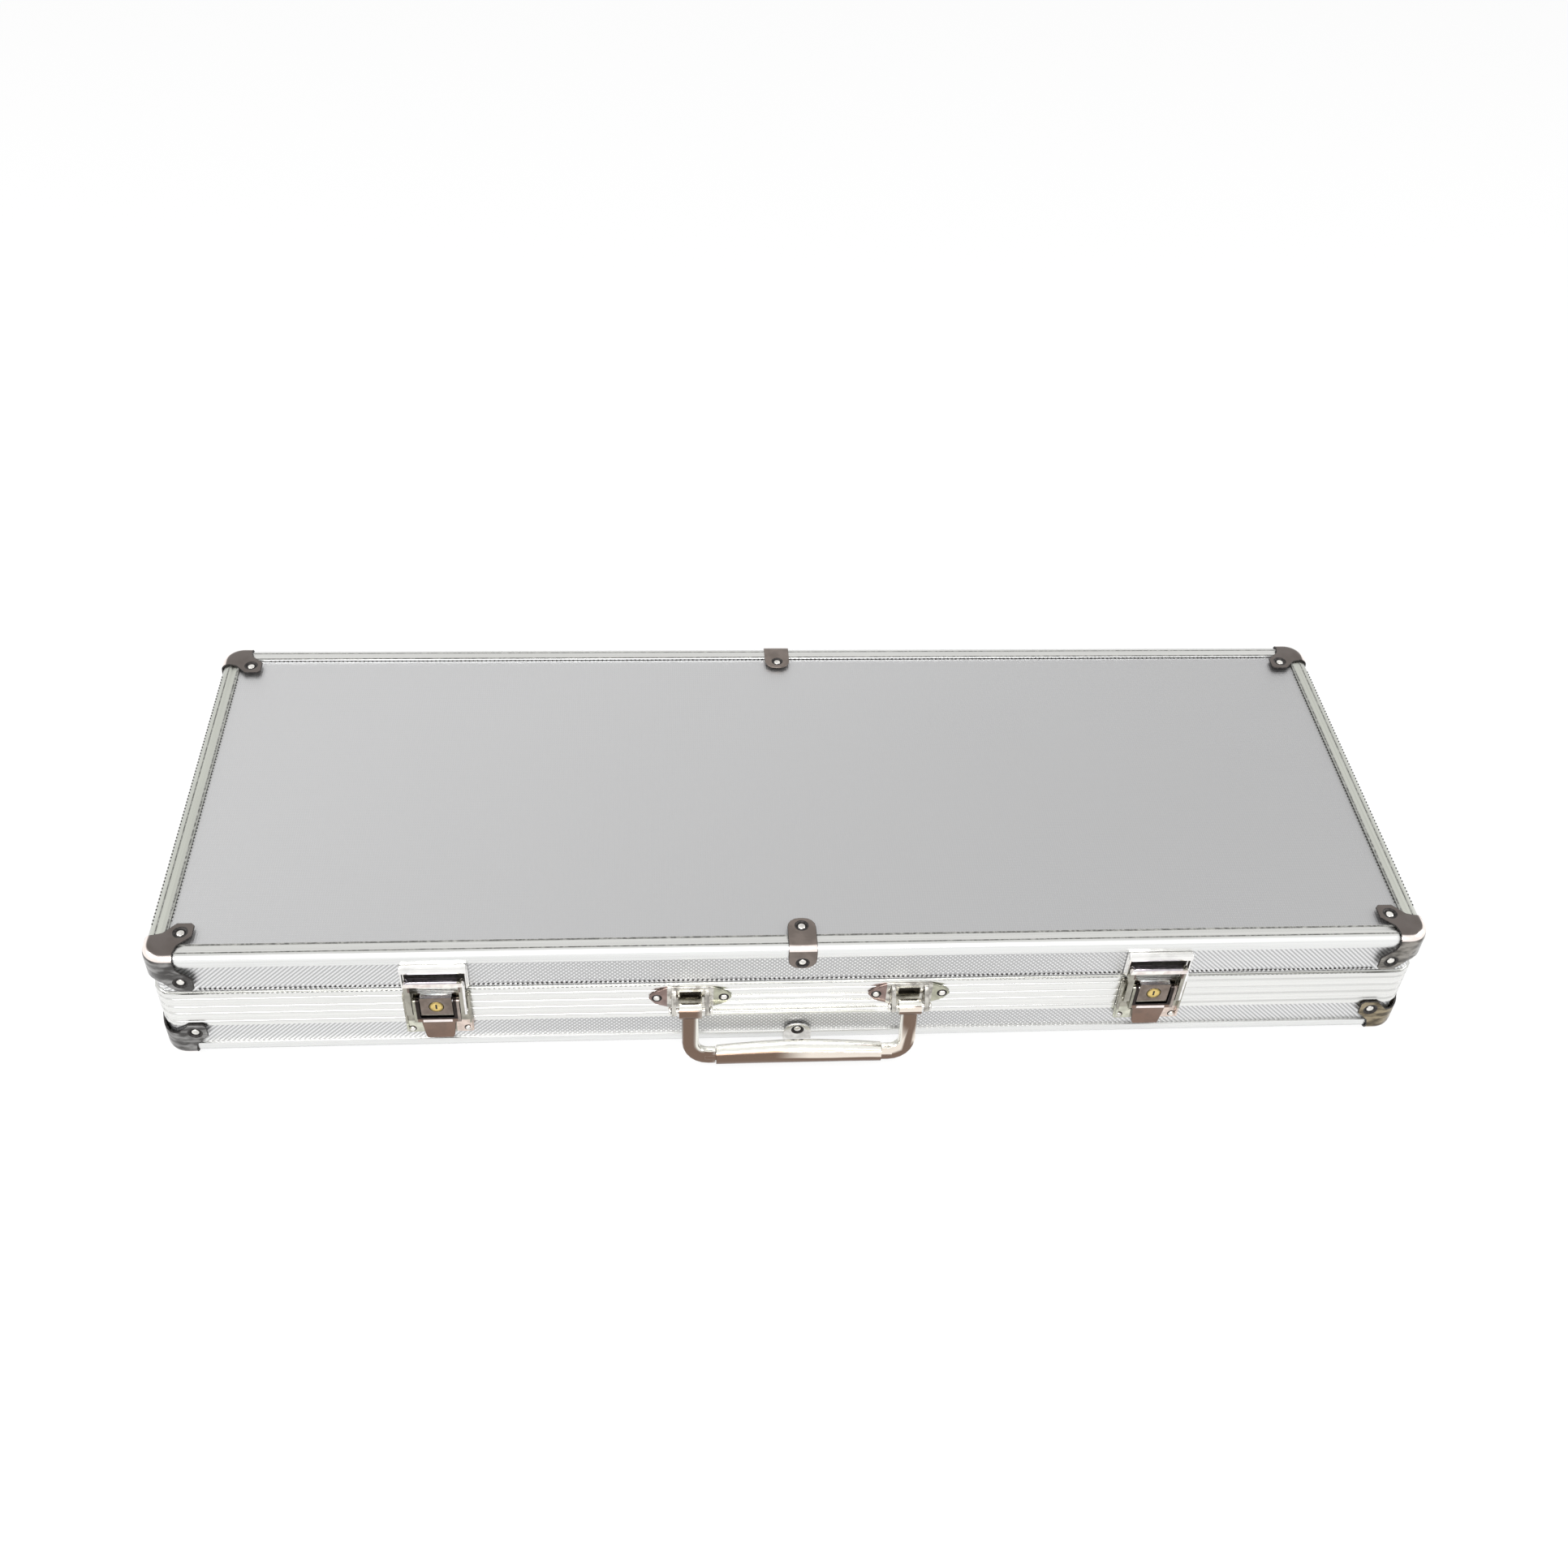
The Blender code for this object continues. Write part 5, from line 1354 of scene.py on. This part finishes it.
@dataclass
class CornerPlates:
    """Eight pressed plates with dished, riveted ears."""

    plan: CasePlan
    thickness: float = 0.0008
    gap: float = 0.0003
    corner_radius: float = 0.009
    edge_radius: float = 0.003
    body: float = 0.0131
    reach: float = 0.0195
    shoulder_share: float = 0.25
    waist_share: float = 0.52
    notch_share: float = 0.72
    ear_share: float = 0.61
    tip_share: float = 0.925
    rivet_place: float = 0.0142
    dish_top: float = 0.0031
    dish_depth: float = 0.00055
    overrun: float = 0.002
    edge: float = 0.00018
    steps: int = 10
    kind: RivetKind = RivetKind("plate", 0.0017, 0.0023, 0.00045)

    @property
    def skin(self) -> float:
        """How far the plate's outer face stands out from the boards."""
        return self.thickness + self.gap

    def block(self, grow: float, extra: float) -> bpy.types.Mesh:
        """Rounded outer corner as a solid at the origin.

        Args:
            grow: How far it stands out from the body.
            extra: How far it reaches past the plate.

        Returns:
            The mesh.
        """
        reach = self.reach + grow + extra
        edge = self.edge_radius + grow
        bend = arc((edge, edge), edge, QUARTER_TURN * 3, -QUARTER_TURN, self.steps)
        levels = [(inset, depth - grow) for inset, depth in bend] + [(0.0, reach)]
        centre = (self.corner_radius, self.corner_radius)
        rings = []
        for inset, depth in levels:
            turn = arc(centre, self.corner_radius + grow - inset, pi, QUARTER_TURN, self.steps)
            outline = [(reach, reach), (inset - grow, reach), *turn, (reach, inset - grow)]
            rings.append(lifted(outline, 2, depth))
        return loft(rings, "corner_block")

    def face_outline(self, start: float) -> Outline:
        """Outline of one face of the plate: a square body and an eared diagonal.

        Args:
            start: Where the outline starts, outside the corner.

        Returns:
            Its points.
        """
        half = [(self.body, start), (self.body, self.body * self.shoulder_share),
                (self.reach * self.notch_share, self.body * self.waist_share),
                (self.reach, self.reach * self.ear_share), (self.reach, self.reach * self.tip_share)]
        return [(start, start)] + half + [(b, a) for a, b in reversed(half)]

    def face(self, axis: int) -> bpy.types.Object:
        """Shape that one face of the plate is cut from.

        Args:
            axis: Axis that the face lies across: 0, 1 or 2.

        Returns:
            The shape.
        """
        outside = -self.skin - self.overrun
        outline = self.face_outline(outside)
        depths = (outside, self.edge_radius + self.corner_radius / 2)
        return cutter("outline", loft([lifted(outline, axis, depth) for depth in depths], "outline"))

    def dish(self, axis: int) -> bpy.types.Object:
        """Shape of the dish round the rivet on one face.

        Args:
            axis: Axis that the face lies across: 0, 1 or 2.

        Returns:
            The shape.
        """
        levels = ((-self.skin - self.overrun, self.dish_top), (-self.skin, self.dish_top),
                  (-self.skin + self.dish_depth, self.kind.ring))
        rings = [lifted(circle((self.rivet_place, self.rivet_place), radius), axis, depth)
                 for depth, radius in levels]
        return cutter("dish", loft(rings, "dish"))

    def pattern(self) -> bpy.types.Mesh:
        """One plate at the origin.

        Returns:
            The mesh.
        """
        outlines = [self.face(axis) for axis in range(3)]
        dishes = [self.dish(axis) for axis in range(3)]
        inner = cutter("inner_block", self.block(self.gap, self.overrun), 0)
        plate = cutter("plate_pattern", self.block(self.skin, 0.0), 0)
        cut(outlines[2], outlines[:2], 'UNION')
        cut(plate, [inner])
        cut(plate, [outlines[2]], 'INTERSECT')
        cut(plate, dishes)
        bpy.context.view_layer.update()
        baked(plate)
        # The rounded edges and the faces left by the outline and dish shapes take the near-black slot: a
        # painted dark outline and painted shade in the dishes.
        rounded_edges(plate, self.edge, 1)
        mesh = plate.data
        for shape in outlines + dishes + [inner, plate]:
            bpy.data.objects.remove(shape)
        return mesh

    def build(self) -> list[Rivet]:
        """Set a mirrored plate on each corner.

        Returns:
            The rivets.
        """
        pattern = self.pattern()
        rivets = []
        for x, y in ((1, 1), (-1, 1), (-1, -1), (1, -1)):
            corner = Side((0, y)).label + "_" + Side((x, 0)).label
            for half in Half:
                signs = Vector((-x, -y, -half.value))
                origin = self.plan.middle - Vector(
                    [sign * (size - self.skin) for sign, size in zip(signs, self.plan.half)])
                mesh = pattern.copy()
                mesh.transform(Matrix.Translation(origin) @ Matrix.Diagonal((*signs, 1)))
                if signs.x * signs.y * signs.z < 0:
                    mesh.flip_normals()
                node = half.body + "_corner_plate_" + corner
                piece = linked(node + "_pressed", mesh)
                smooth(piece)
                seat(piece, half.body, Slot.CHROME, node)
                for axis in range(3):
                    place = [self.rivet_place] * 3
                    place[axis] = self.dish_depth - self.skin
                    outward = [0.0, 0.0, 0.0]
                    outward[axis] = -signs[axis]
                    spot = origin + Vector([sign * value for sign, value in zip(signs, place)])
                    rivets.append(Rivet(tuple(spot), tuple(outward), half.body))
        return rivets


# Clips, hinges, latches and handle

@dataclass
class EdgeClips:
    """Four bent clips over the middles of the long edges."""

    plan: CasePlan
    edge: float = 0.0002
    top_rivet: float = 0.0136
    face_rivet: float = 0.0092
    dish_radius: float = 0.0029
    dish_depth: float = 0.0005
    kind: RivetKind = RivetKind("clip", 0.0016, 0.0022, 0.0004)

    def dish(self, place: Vector, outward: Vector) -> bpy.types.Object:
        """Shape of the dish round a rivet.

        Args:
            place: Middle of the dish, on its face.
            outward: The face's direction.

        Returns:
            The shape.
        """
        first = outward.orthogonal().normalized()
        second = outward.cross(first)
        rings = []
        for rise, radius in ((self.dish_depth, self.dish_radius), (0.0, self.dish_radius),
                             (-self.dish_depth, self.kind.ring)):
            centre = place + outward * rise
            rings.append([tuple(centre + first * a + second * b) for a, b in circle((0.0, 0.0), radius)])
        return cutter("clip_dish", loft(rings, "clip_dish"))

    def clip(self, node: str, half: Half, spots: list[tuple[Vector, Vector]]) -> None:
        """One clip with a dish for each rivet.

        Args:
            node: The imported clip.
            half: Half of the case that it is on.
            spots: Place and outward direction of each dish.
        """
        piece = linked(node + "_dressed", merged_copy(node))
        # The dishes and the rounded edges take the near-black slot: painted shade in the dishes and a painted
        # dark outline.
        dress(piece, CLIP if half is Half.LID else CLIP_LOW, DARK)
        dishes = [self.dish(place, outward) for place, outward in spots]
        cut(piece, dishes)
        bpy.context.view_layer.update()
        baked(piece)
        for dish in dishes:
            bpy.data.objects.remove(dish)
        rounded_edges(piece, self.edge, 1)
        smooth(piece)
        seat(piece, half.body, Slot.CHROME, node)

    def build(self) -> list[Rivet]:
        """Refine the clips.

        Returns:
            The rivets.
        """
        rivets = []
        middle, size = self.plan.middle, self.plan.half
        for half in Half:
            for side in (Side.FRONT, Side.BACK):
                z, y = half.value, side.value[1]
                flat = Vector((middle.x, middle.y + y * (size.y - self.top_rivet), middle.z + z * size.z))
                face = Vector((middle.x, middle.y + y * size.y, middle.z + z * (size.z - self.face_rivet)))
                spots = [(flat, Vector((0.0, 0.0, z))), (face, Vector((0.0, y, 0.0)))]
                self.clip(half.body + "_clip_" + side.label, half, spots)
                rivets += [Rivet(tuple(place - outward * self.dish_depth), tuple(outward), half.body)
                           for place, outward in spots]
        return rivets


@dataclass
class Hinges:
    """Two butt hinges on the back."""

    edge: float = 0.00015
    rivet_share: float = 0.32
    base_rise: float = 0.0048
    lid_drop: float = 0.0045
    kind: RivetKind = RivetKind("hinge", 0.0019, 0.0023, 0.0007)

    def build(self) -> list[Rivet]:
        """Refine the leaves and pins.

        Returns:
            The rivets.
        """
        rivets = []
        for side in ENDS:
            refined("hinge_pin_" + side.label, "base", Slot.HINGE, HINGE, self.edge)
            for half in Half:
                node = half.body + "_hinge_leaf_" + side.label
                refined(node, half.body, Slot.HINGE, HINGE, self.edge)
                low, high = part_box(node)
                end, height = low.z, low.z + self.base_rise
                if half is Half.LID:
                    end, height = high.z, high.z - self.lid_drop
                rivets += rivet_pair(node, (high.x - low.x) * self.rivet_share,
                                     face_depth(node, end, Side.BACK), height, Side.BACK, half.body)
        return rivets


@dataclass
class Latches:
    """Two keyed draw latches."""

    edge: float = 0.0002
    outline: float = 0.00032
    rivet_spread: float = 0.0122
    rivet_rise: float = 0.0024
    pocket_share: float = 0.87
    pocket_height: float = 0.0032
    pocket_drop: float = 0.004
    pocket_corner: float = 0.001
    pocket_sunk: float = 0.0002
    pocket_proud: float = 0.0001
    ridge_height: float = 0.0250
    ridge_half: float = 0.0066
    ridge_radius: float = 0.0013
    ridge_taper: float = 0.0003
    ridge_end: float = 0.6
    slot_half: float = 0.0004
    slot_reach: float = 0.0015
    barrel_rim: float = 0.0003
    barrel_sides: int = 48
    barrel_dish: tuple[tuple[float, float], ...] = ((1.6, 0.1), (2.2, 0.5), (2.8, 0.5))
    steps: int = 6
    kind: RivetKind = RivetKind("latch", 0.0014, 0.0018, 0.0009)

    def barrel(self, side: Side) -> None:
        """Turned barrel with a rolled rim and a dished face.

        Args:
            side: LEFT or RIGHT.
        """
        node = "lock_barrel_" + side.label
        low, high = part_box(node)
        middle = node_middle(node)
        radius = (high.x - low.x) / 2
        rim = self.barrel_rim
        roll = arc((radius - rim, low.y + rim), rim, 0.0, -QUARTER_TURN, 4)
        profile = [(radius, high.y), (radius, low.y + rim), *roll[1:]]
        profile += [(radius - rim * reach, low.y + rim * share) for reach, share in self.barrel_dish]
        rings = [lifted(circle((middle.x, middle.z), size, self.barrel_sides), 1, depth)
                 for size, depth in profile]
        lofted(node + "_turned", rings, BRASS, "barrel_" + side.label, Slot.BRASS, node, rounded=True)

    def shade_sheet(self, side: Side) -> None:
        """Dark sheet of painted shade under the keeper's top bar, above the claw.

        Args:
            side: LEFT or RIGHT.
        """
        node = "latch_keeper_" + side.label
        low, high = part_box(node)
        claw_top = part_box("latch_claw_" + side.label)[1].z
        middle = node_middle(node).x
        half = (high.x - low.x) / 2 * self.pocket_share
        face = face_depth(node, low.z)
        corner = self.pocket_corner
        top = claw_top + self.pocket_height
        bottom = claw_top - self.pocket_drop
        outline = arc((middle - half + corner, top - corner), corner, QUARTER_TURN, QUARTER_TURN, self.steps)
        outline += [(middle - half, bottom), (middle + half, bottom)]
        outline += arc((middle + half - corner, top - corner), corner, 0.0, QUARTER_TURN, self.steps)
        rings = [lifted(outline, 1, depth) for depth in (face + self.pocket_sunk, face - self.pocket_proud)]
        lofted("keeper_pocket_" + side.label, rings, DARK, "lid", Slot.CHROME)

    def ridge(self, side: Side) -> None:
        """Rolled ridge across the lever above its finger tab, in near-white plating as a painted highlight.

        Args:
            side: LEFT or RIGHT.
        """
        node = "latch_lever_" + side.label
        face = face_depth(node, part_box(node)[0].z)
        middle = node_middle(node).x
        shape = arc((0.0, 0.0), self.ridge_radius, -QUARTER_TURN, -pi, 10)
        inner = self.ridge_half - self.ridge_taper
        rings = [[(middle + x, face + a * share, self.ridge_height + b * share) for a, b in shape]
                 for x, share in ((-self.ridge_half, self.ridge_end), (-inner, 1.0), (inner, 1.0),
                                  (self.ridge_half, self.ridge_end))]
        lofted("lever_ridge_" + side.label, rings, RIDGE, "lever_" + side.label, Slot.CHROME, rounded=True)

    def key_slot(self, side: Side) -> None:
        """Keyway on the barrel's face, filled with near-black painted shade.

        Args:
            side: LEFT or RIGHT.
        """
        node = "lock_barrel_" + side.label
        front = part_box(node)[0].y
        middle = node_middle(node)
        half = self.slot_half
        reach = self.slot_reach - half
        outline = arc((middle.x, middle.z + reach), half, 0.0, pi, self.steps)
        outline += arc((middle.x, middle.z - reach), half, pi, pi, self.steps)
        rings = [lifted(outline, 1, depth) for depth in (front + half, front + self.barrel_rim / 3)]
        lofted("key_slot_" + side.label, rings, DARK, "barrel_" + side.label, Slot.BRASS)

    def build(self) -> list[Rivet]:
        """Refine the latches.

        Returns:
            The rivets.
        """
        rivets = []
        for side in ENDS:
            base = "latch_base_" + side.label
            # Rounded edges take an outline finish: near black on the base and lever and dark grey on the
            # keeper, as painted dark outlines.
            for node, body, finish, edge, outline in (
                    (base, "base", LATCH, self.outline, DARK),
                    ("latch_keeper_" + side.label, "lid", KEEPER, self.edge, SHADE_LINE),
                    ("latch_claw_" + side.label, "claw_" + side.label, LOOP, self.edge, None),
                    ("latch_lever_" + side.label, "lever_" + side.label, LEVER, self.edge, DARK)):
                refined(node, body, Slot.CHROME, finish, edge, outline)
            self.barrel(side)
            self.shade_sheet(side)
            self.ridge(side)
            self.key_slot(side)
            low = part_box(base)[0].z
            rivets += rivet_pair(base, self.rivet_spread, face_depth(base, low), low + self.rivet_rise,
                                 Side.FRONT, "base")
        return rivets


@dataclass
class CarryingHandle:
    """Handle, its brackets and pins."""

    plan: CasePlan
    edge: float = 0.00025
    arm_edge: float = 0.00045
    outline: float = 0.0004
    rivet_spread: float = 0.01475
    rivet_height: float = 0.0333
    bracket_proud: float = 0.0013
    kind: RivetKind = RivetKind("bracket", 0.0015, 0.0023, 0.0008)

    def build(self) -> list[Rivet]:
        """Refine the handle.

        Returns:
            The rivets.
        """
        refined("handle_grip", "handle", Slot.CHROME, HANDLE)
        face = self.plan.low.y + self.plan.skin - self.bracket_proud
        rivets = []
        for side in ENDS:
            bracket = "handle_bracket_" + side.label
            # The arms' rounded edges are near white as painted highlights, and the brackets' are near black
            # as a painted dark outline.
            refined("handle_arm_" + side.label, "handle", Slot.CHROME, HANDLE, self.arm_edge, BRIGHT)
            refined(bracket, "base", Slot.CHROME, BRACKET, self.outline, DARK)
            refined("handle_pin_" + side.label, "base", Slot.CHROME, RIVET, self.edge)
            rivets += rivet_pair(bracket, self.rivet_spread, face, self.rivet_height, Side.FRONT, "base")
        return rivets


# Inside

@dataclass
class Inside:
    """Flocked trays and the lid's foam pad."""

    deck_weight: int = 100
    pad_voxel: float = 0.005
    pad_shrink: float = 0.0016
    pad_corner: float = 0.008
    pad_steps: int = 5
    pad_swell: float = 0.0013
    pad_pressure: float = 4.0
    pad_frames: int = 14
    pad_fill: float = 0.7

    def trays(self) -> None:
        """Refine the three trays and keep their flat decks evenly shaded."""
        for node in ("chip_tray_left", "chip_tray_right", "card_tray"):
            piece = refined(node, "base", Slot.TRAY, FLOCK)
            modifier = piece.modifiers.new("Even Decks", 'WEIGHTED_NORMAL')
            modifier.keep_sharp = True
            modifier.weight = self.deck_weight
            baked(piece)

    def pad(self) -> None:
        """Make the foam pad: a crowned slab, blown up a little as cloth."""
        low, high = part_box("lid_foam_pad")
        shrink = Vector((self.pad_shrink,) * 3)
        low, high = low + shrink, high - shrink
        radius = (high.z - low.z) / 3
        levels = ((radius, low.z), (0.0, low.z + radius), (0.0, high.z - radius), (radius, high.z))
        rings = []
        for inset, height in levels:
            outline = []
            for quarter, (x, y) in enumerate(((1, 1), (-1, 1), (-1, -1), (1, -1))):
                centre = ((high.x if x > 0 else low.x) - self.pad_corner * x,
                          (high.y if y > 0 else low.y) - self.pad_corner * y)
                outline += arc(centre, self.pad_corner - inset, quarter * QUARTER_TURN, QUARTER_TURN,
                               self.pad_steps)
            rings.append(lifted(outline, 2, height))
        piece = linked("lid_pad_padded", loft(rings, "lid_pad_padded"))
        remesh = piece.modifiers.new("Remesh", 'REMESH')
        remesh.mode = 'VOXEL'
        remesh.voxel_size = self.pad_voxel
        baked(piece)
        self.swell(piece)
        finer = piece.modifiers.new("Finer", 'SUBSURF')
        finer.levels = 1
        finer.render_levels = 1
        baked(piece)
        self.keep_inside(piece, *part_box("lid_foam_pad"))
        dress(piece, FOAM)
        smooth(piece, pi)
        seat(piece, "lid", Slot.PAD, "lid_foam_pad")

    def swell(self, piece: bpy.types.Object) -> None:
        """Blow the pad up with a short cloth simulation and cap how far each point moves.

        Args:
            piece: The remeshed pad.
        """
        rest = [vert.co.copy() for vert in piece.data.vertices]
        cloth = piece.modifiers.new("Cloth", 'CLOTH')
        cloth.settings.use_pressure = True
        cloth.settings.uniform_pressure_force = self.pad_pressure
        cloth.settings.effector_weights.gravity = 0.0
        for number in range(1, self.pad_frames + 1):
            bpy.context.scene.frame_set(number)
        baked(piece)
        bpy.context.scene.frame_set(1)
        for vert, place in zip(piece.data.vertices, rest):
            move = vert.co - place
            if move.length > self.pad_swell:
                vert.co = place + move.normalized() * self.pad_swell

    def keep_inside(self, piece: bpy.types.Object, low: Vector, high: Vector) -> None:
        """Hold every point of a piece between the lowest and highest corner of its space."""
        for vert in piece.data.vertices:
            vert.co = Vector(min(max(value, least), most) for value, least, most in zip(vert.co, low, high))

    def build(self) -> None:
        """Make what the case holds."""
        self.trays()
        self.pad()


# Studio

@dataclass
class Studio:
    """Camera, lamps, world and floor."""

    lens: float = 38.84
    sensor: float = 36.0
    place: Point = (-0.06244, -0.58103, 0.61022)
    azimuth: float = 5.8888
    pitch: float = -42.9022
    roll: float = 3.4688
    ambient: float = 0.62
    floor_half: float = 6.0
    floor_tone: float = 0.93
    shadow_share: float = 0.16
    target: Point = (0.0, 0.0, 0.03)

    def camera(self) -> None:
        """Set the camera at the photograph's angle."""
        data = bpy.data.cameras.new("camera")
        data.lens = self.lens
        data.sensor_width = self.sensor
        data.clip_start = 0.01
        camera = linked("camera", data)
        turn = Matrix.Rotation(radians(-self.azimuth), 4, 'Z')
        tilt = Matrix.Rotation(radians(90.0 + self.pitch), 4, 'X')
        lean = Matrix.Rotation(radians(self.roll), 4, 'Z')
        camera.matrix_world = Matrix.Translation(self.place) @ turn @ tilt @ lean
        bpy.context.scene.camera = camera

    def lamp(self, name: str, place: Point, size: tuple[float, float], power: float) -> None:
        """Add one soft lamp that points at the case.

        Args:
            name: Name of the lamp.
            place: Where it stands.
            size: Its width and height.
            power: Its power in watts.
        """
        data = bpy.data.lights.new(name, 'AREA')
        data.shape = 'RECTANGLE'
        data.size, data.size_y = size
        data.energy = power
        lamp = linked(name, data)
        lamp.location = place
        lamp.rotation_euler = (Vector(self.target) - Vector(place)).to_track_quat('-Z', 'Y').to_euler()

    def seen(self, nodes: NodeMaker) -> Socket:
        """Whether a ray comes from the camera, a gloss or a clear surface.

        Args:
            nodes: Maker of the tree that gets the nodes.

        Returns:
            1 for such rays and 0 for others.
        """
        path = nodes.add("ShaderNodeLightPath").outputs
        total = path["Is Camera Ray"]
        for name in ("Is Glossy Ray", "Is Transmission Ray"):
            total = nodes.add("ShaderNodeMath", {0: total, 1: path[name]}, operation='MAXIMUM').outputs[0]
        return total

    def world(self) -> None:
        """Set a world that is plain white to the camera and to gloss, and dimmer as a light."""
        world = bpy.data.worlds.new("studio")
        world.use_nodes = True
        nodes = NodeMaker(world.node_tree)
        light = nodes.tree.nodes["Background"]
        nodes.put(light.inputs["Color"], WHITE)
        nodes.put(light.inputs["Strength"], self.ambient)
        white = nodes.add("ShaderNodeBackground", {"Color": WHITE, "Strength": 1.0})
        mix = nodes.add("ShaderNodeMixShader", {0: self.seen(nodes), 1: light.outputs[0],
                                                2: white.outputs[0]})
        nodes.put(nodes.tree.nodes["World Output"].inputs[0], mix.outputs[0])
        bpy.context.scene.world = world

    def floor(self) -> None:
        """Lay a pale floor that keeps a faint shadow of the case."""
        half = self.floor_half
        mesh = bpy.data.meshes.new("floor")
        mesh.from_pydata([(-half, -half, 0), (half, -half, 0), (half, half, 0), (-half, half, 0)], [],
                         [(0, 1, 2, 3)])
        floor = linked("floor", mesh)
        material = bpy.data.materials.new("pale_floor")
        material.use_nodes = True
        nodes = NodeMaker(material.node_tree)
        paint = nodes.tree.nodes["Principled BSDF"]
        for name, value in (("Base Color", (*(self.floor_tone,) * 3, 1.0)), ("Roughness", 0.9),
                            ("Specular IOR Level", 0.0)):
            nodes.put(paint.inputs[name], value)
        glow = nodes.add("ShaderNodeEmission", {"Strength": 1.0})
        share = nodes.add("ShaderNodeMath", {0: self.seen(nodes), 1: 1.0 - self.shadow_share},
                          operation='MULTIPLY')
        mix = nodes.add("ShaderNodeMixShader", {0: share.outputs[0], 1: paint.outputs[0], 2: glow.outputs[0]})
        nodes.put(nodes.tree.nodes["Material Output"].inputs[0], mix.outputs[0])
        floor.data.materials.append(material)

    def build(self) -> None:
        """Set up the whole studio."""
        self.camera()
        self.world()
        self.floor()
        self.lamp("front_lamp", (-0.25, -1.5, 1.55), (1.8, 1.0), 34.0)
        self.lamp("left_lamp", (-1.6, -0.3, 1.15), (0.9, 0.8), 12.0)
        self.lamp("right_lamp", (1.75, -0.15, 0.95), (0.9, 0.8), 12.0)
        bpy.context.scene.view_settings.view_transform = 'Standard'


def main() -> None:
    """Build the case's looks in order."""
    logging.basicConfig(level=logging.INFO)
    Studio().build()
    plan = CasePlan.from_frame()
    Shell(plan).build(pip_tree())
    rivets = Rivets(rivet_tree())
    for part in (CornerPlates(plan), EdgeClips(plan), Hinges(), Latches(), CarryingHandle(plan)):
        rivets.build(part.kind, part.build())
    Inside().build()
    LOG.info("case is dressed")


if __name__ == "__main__":
    main()
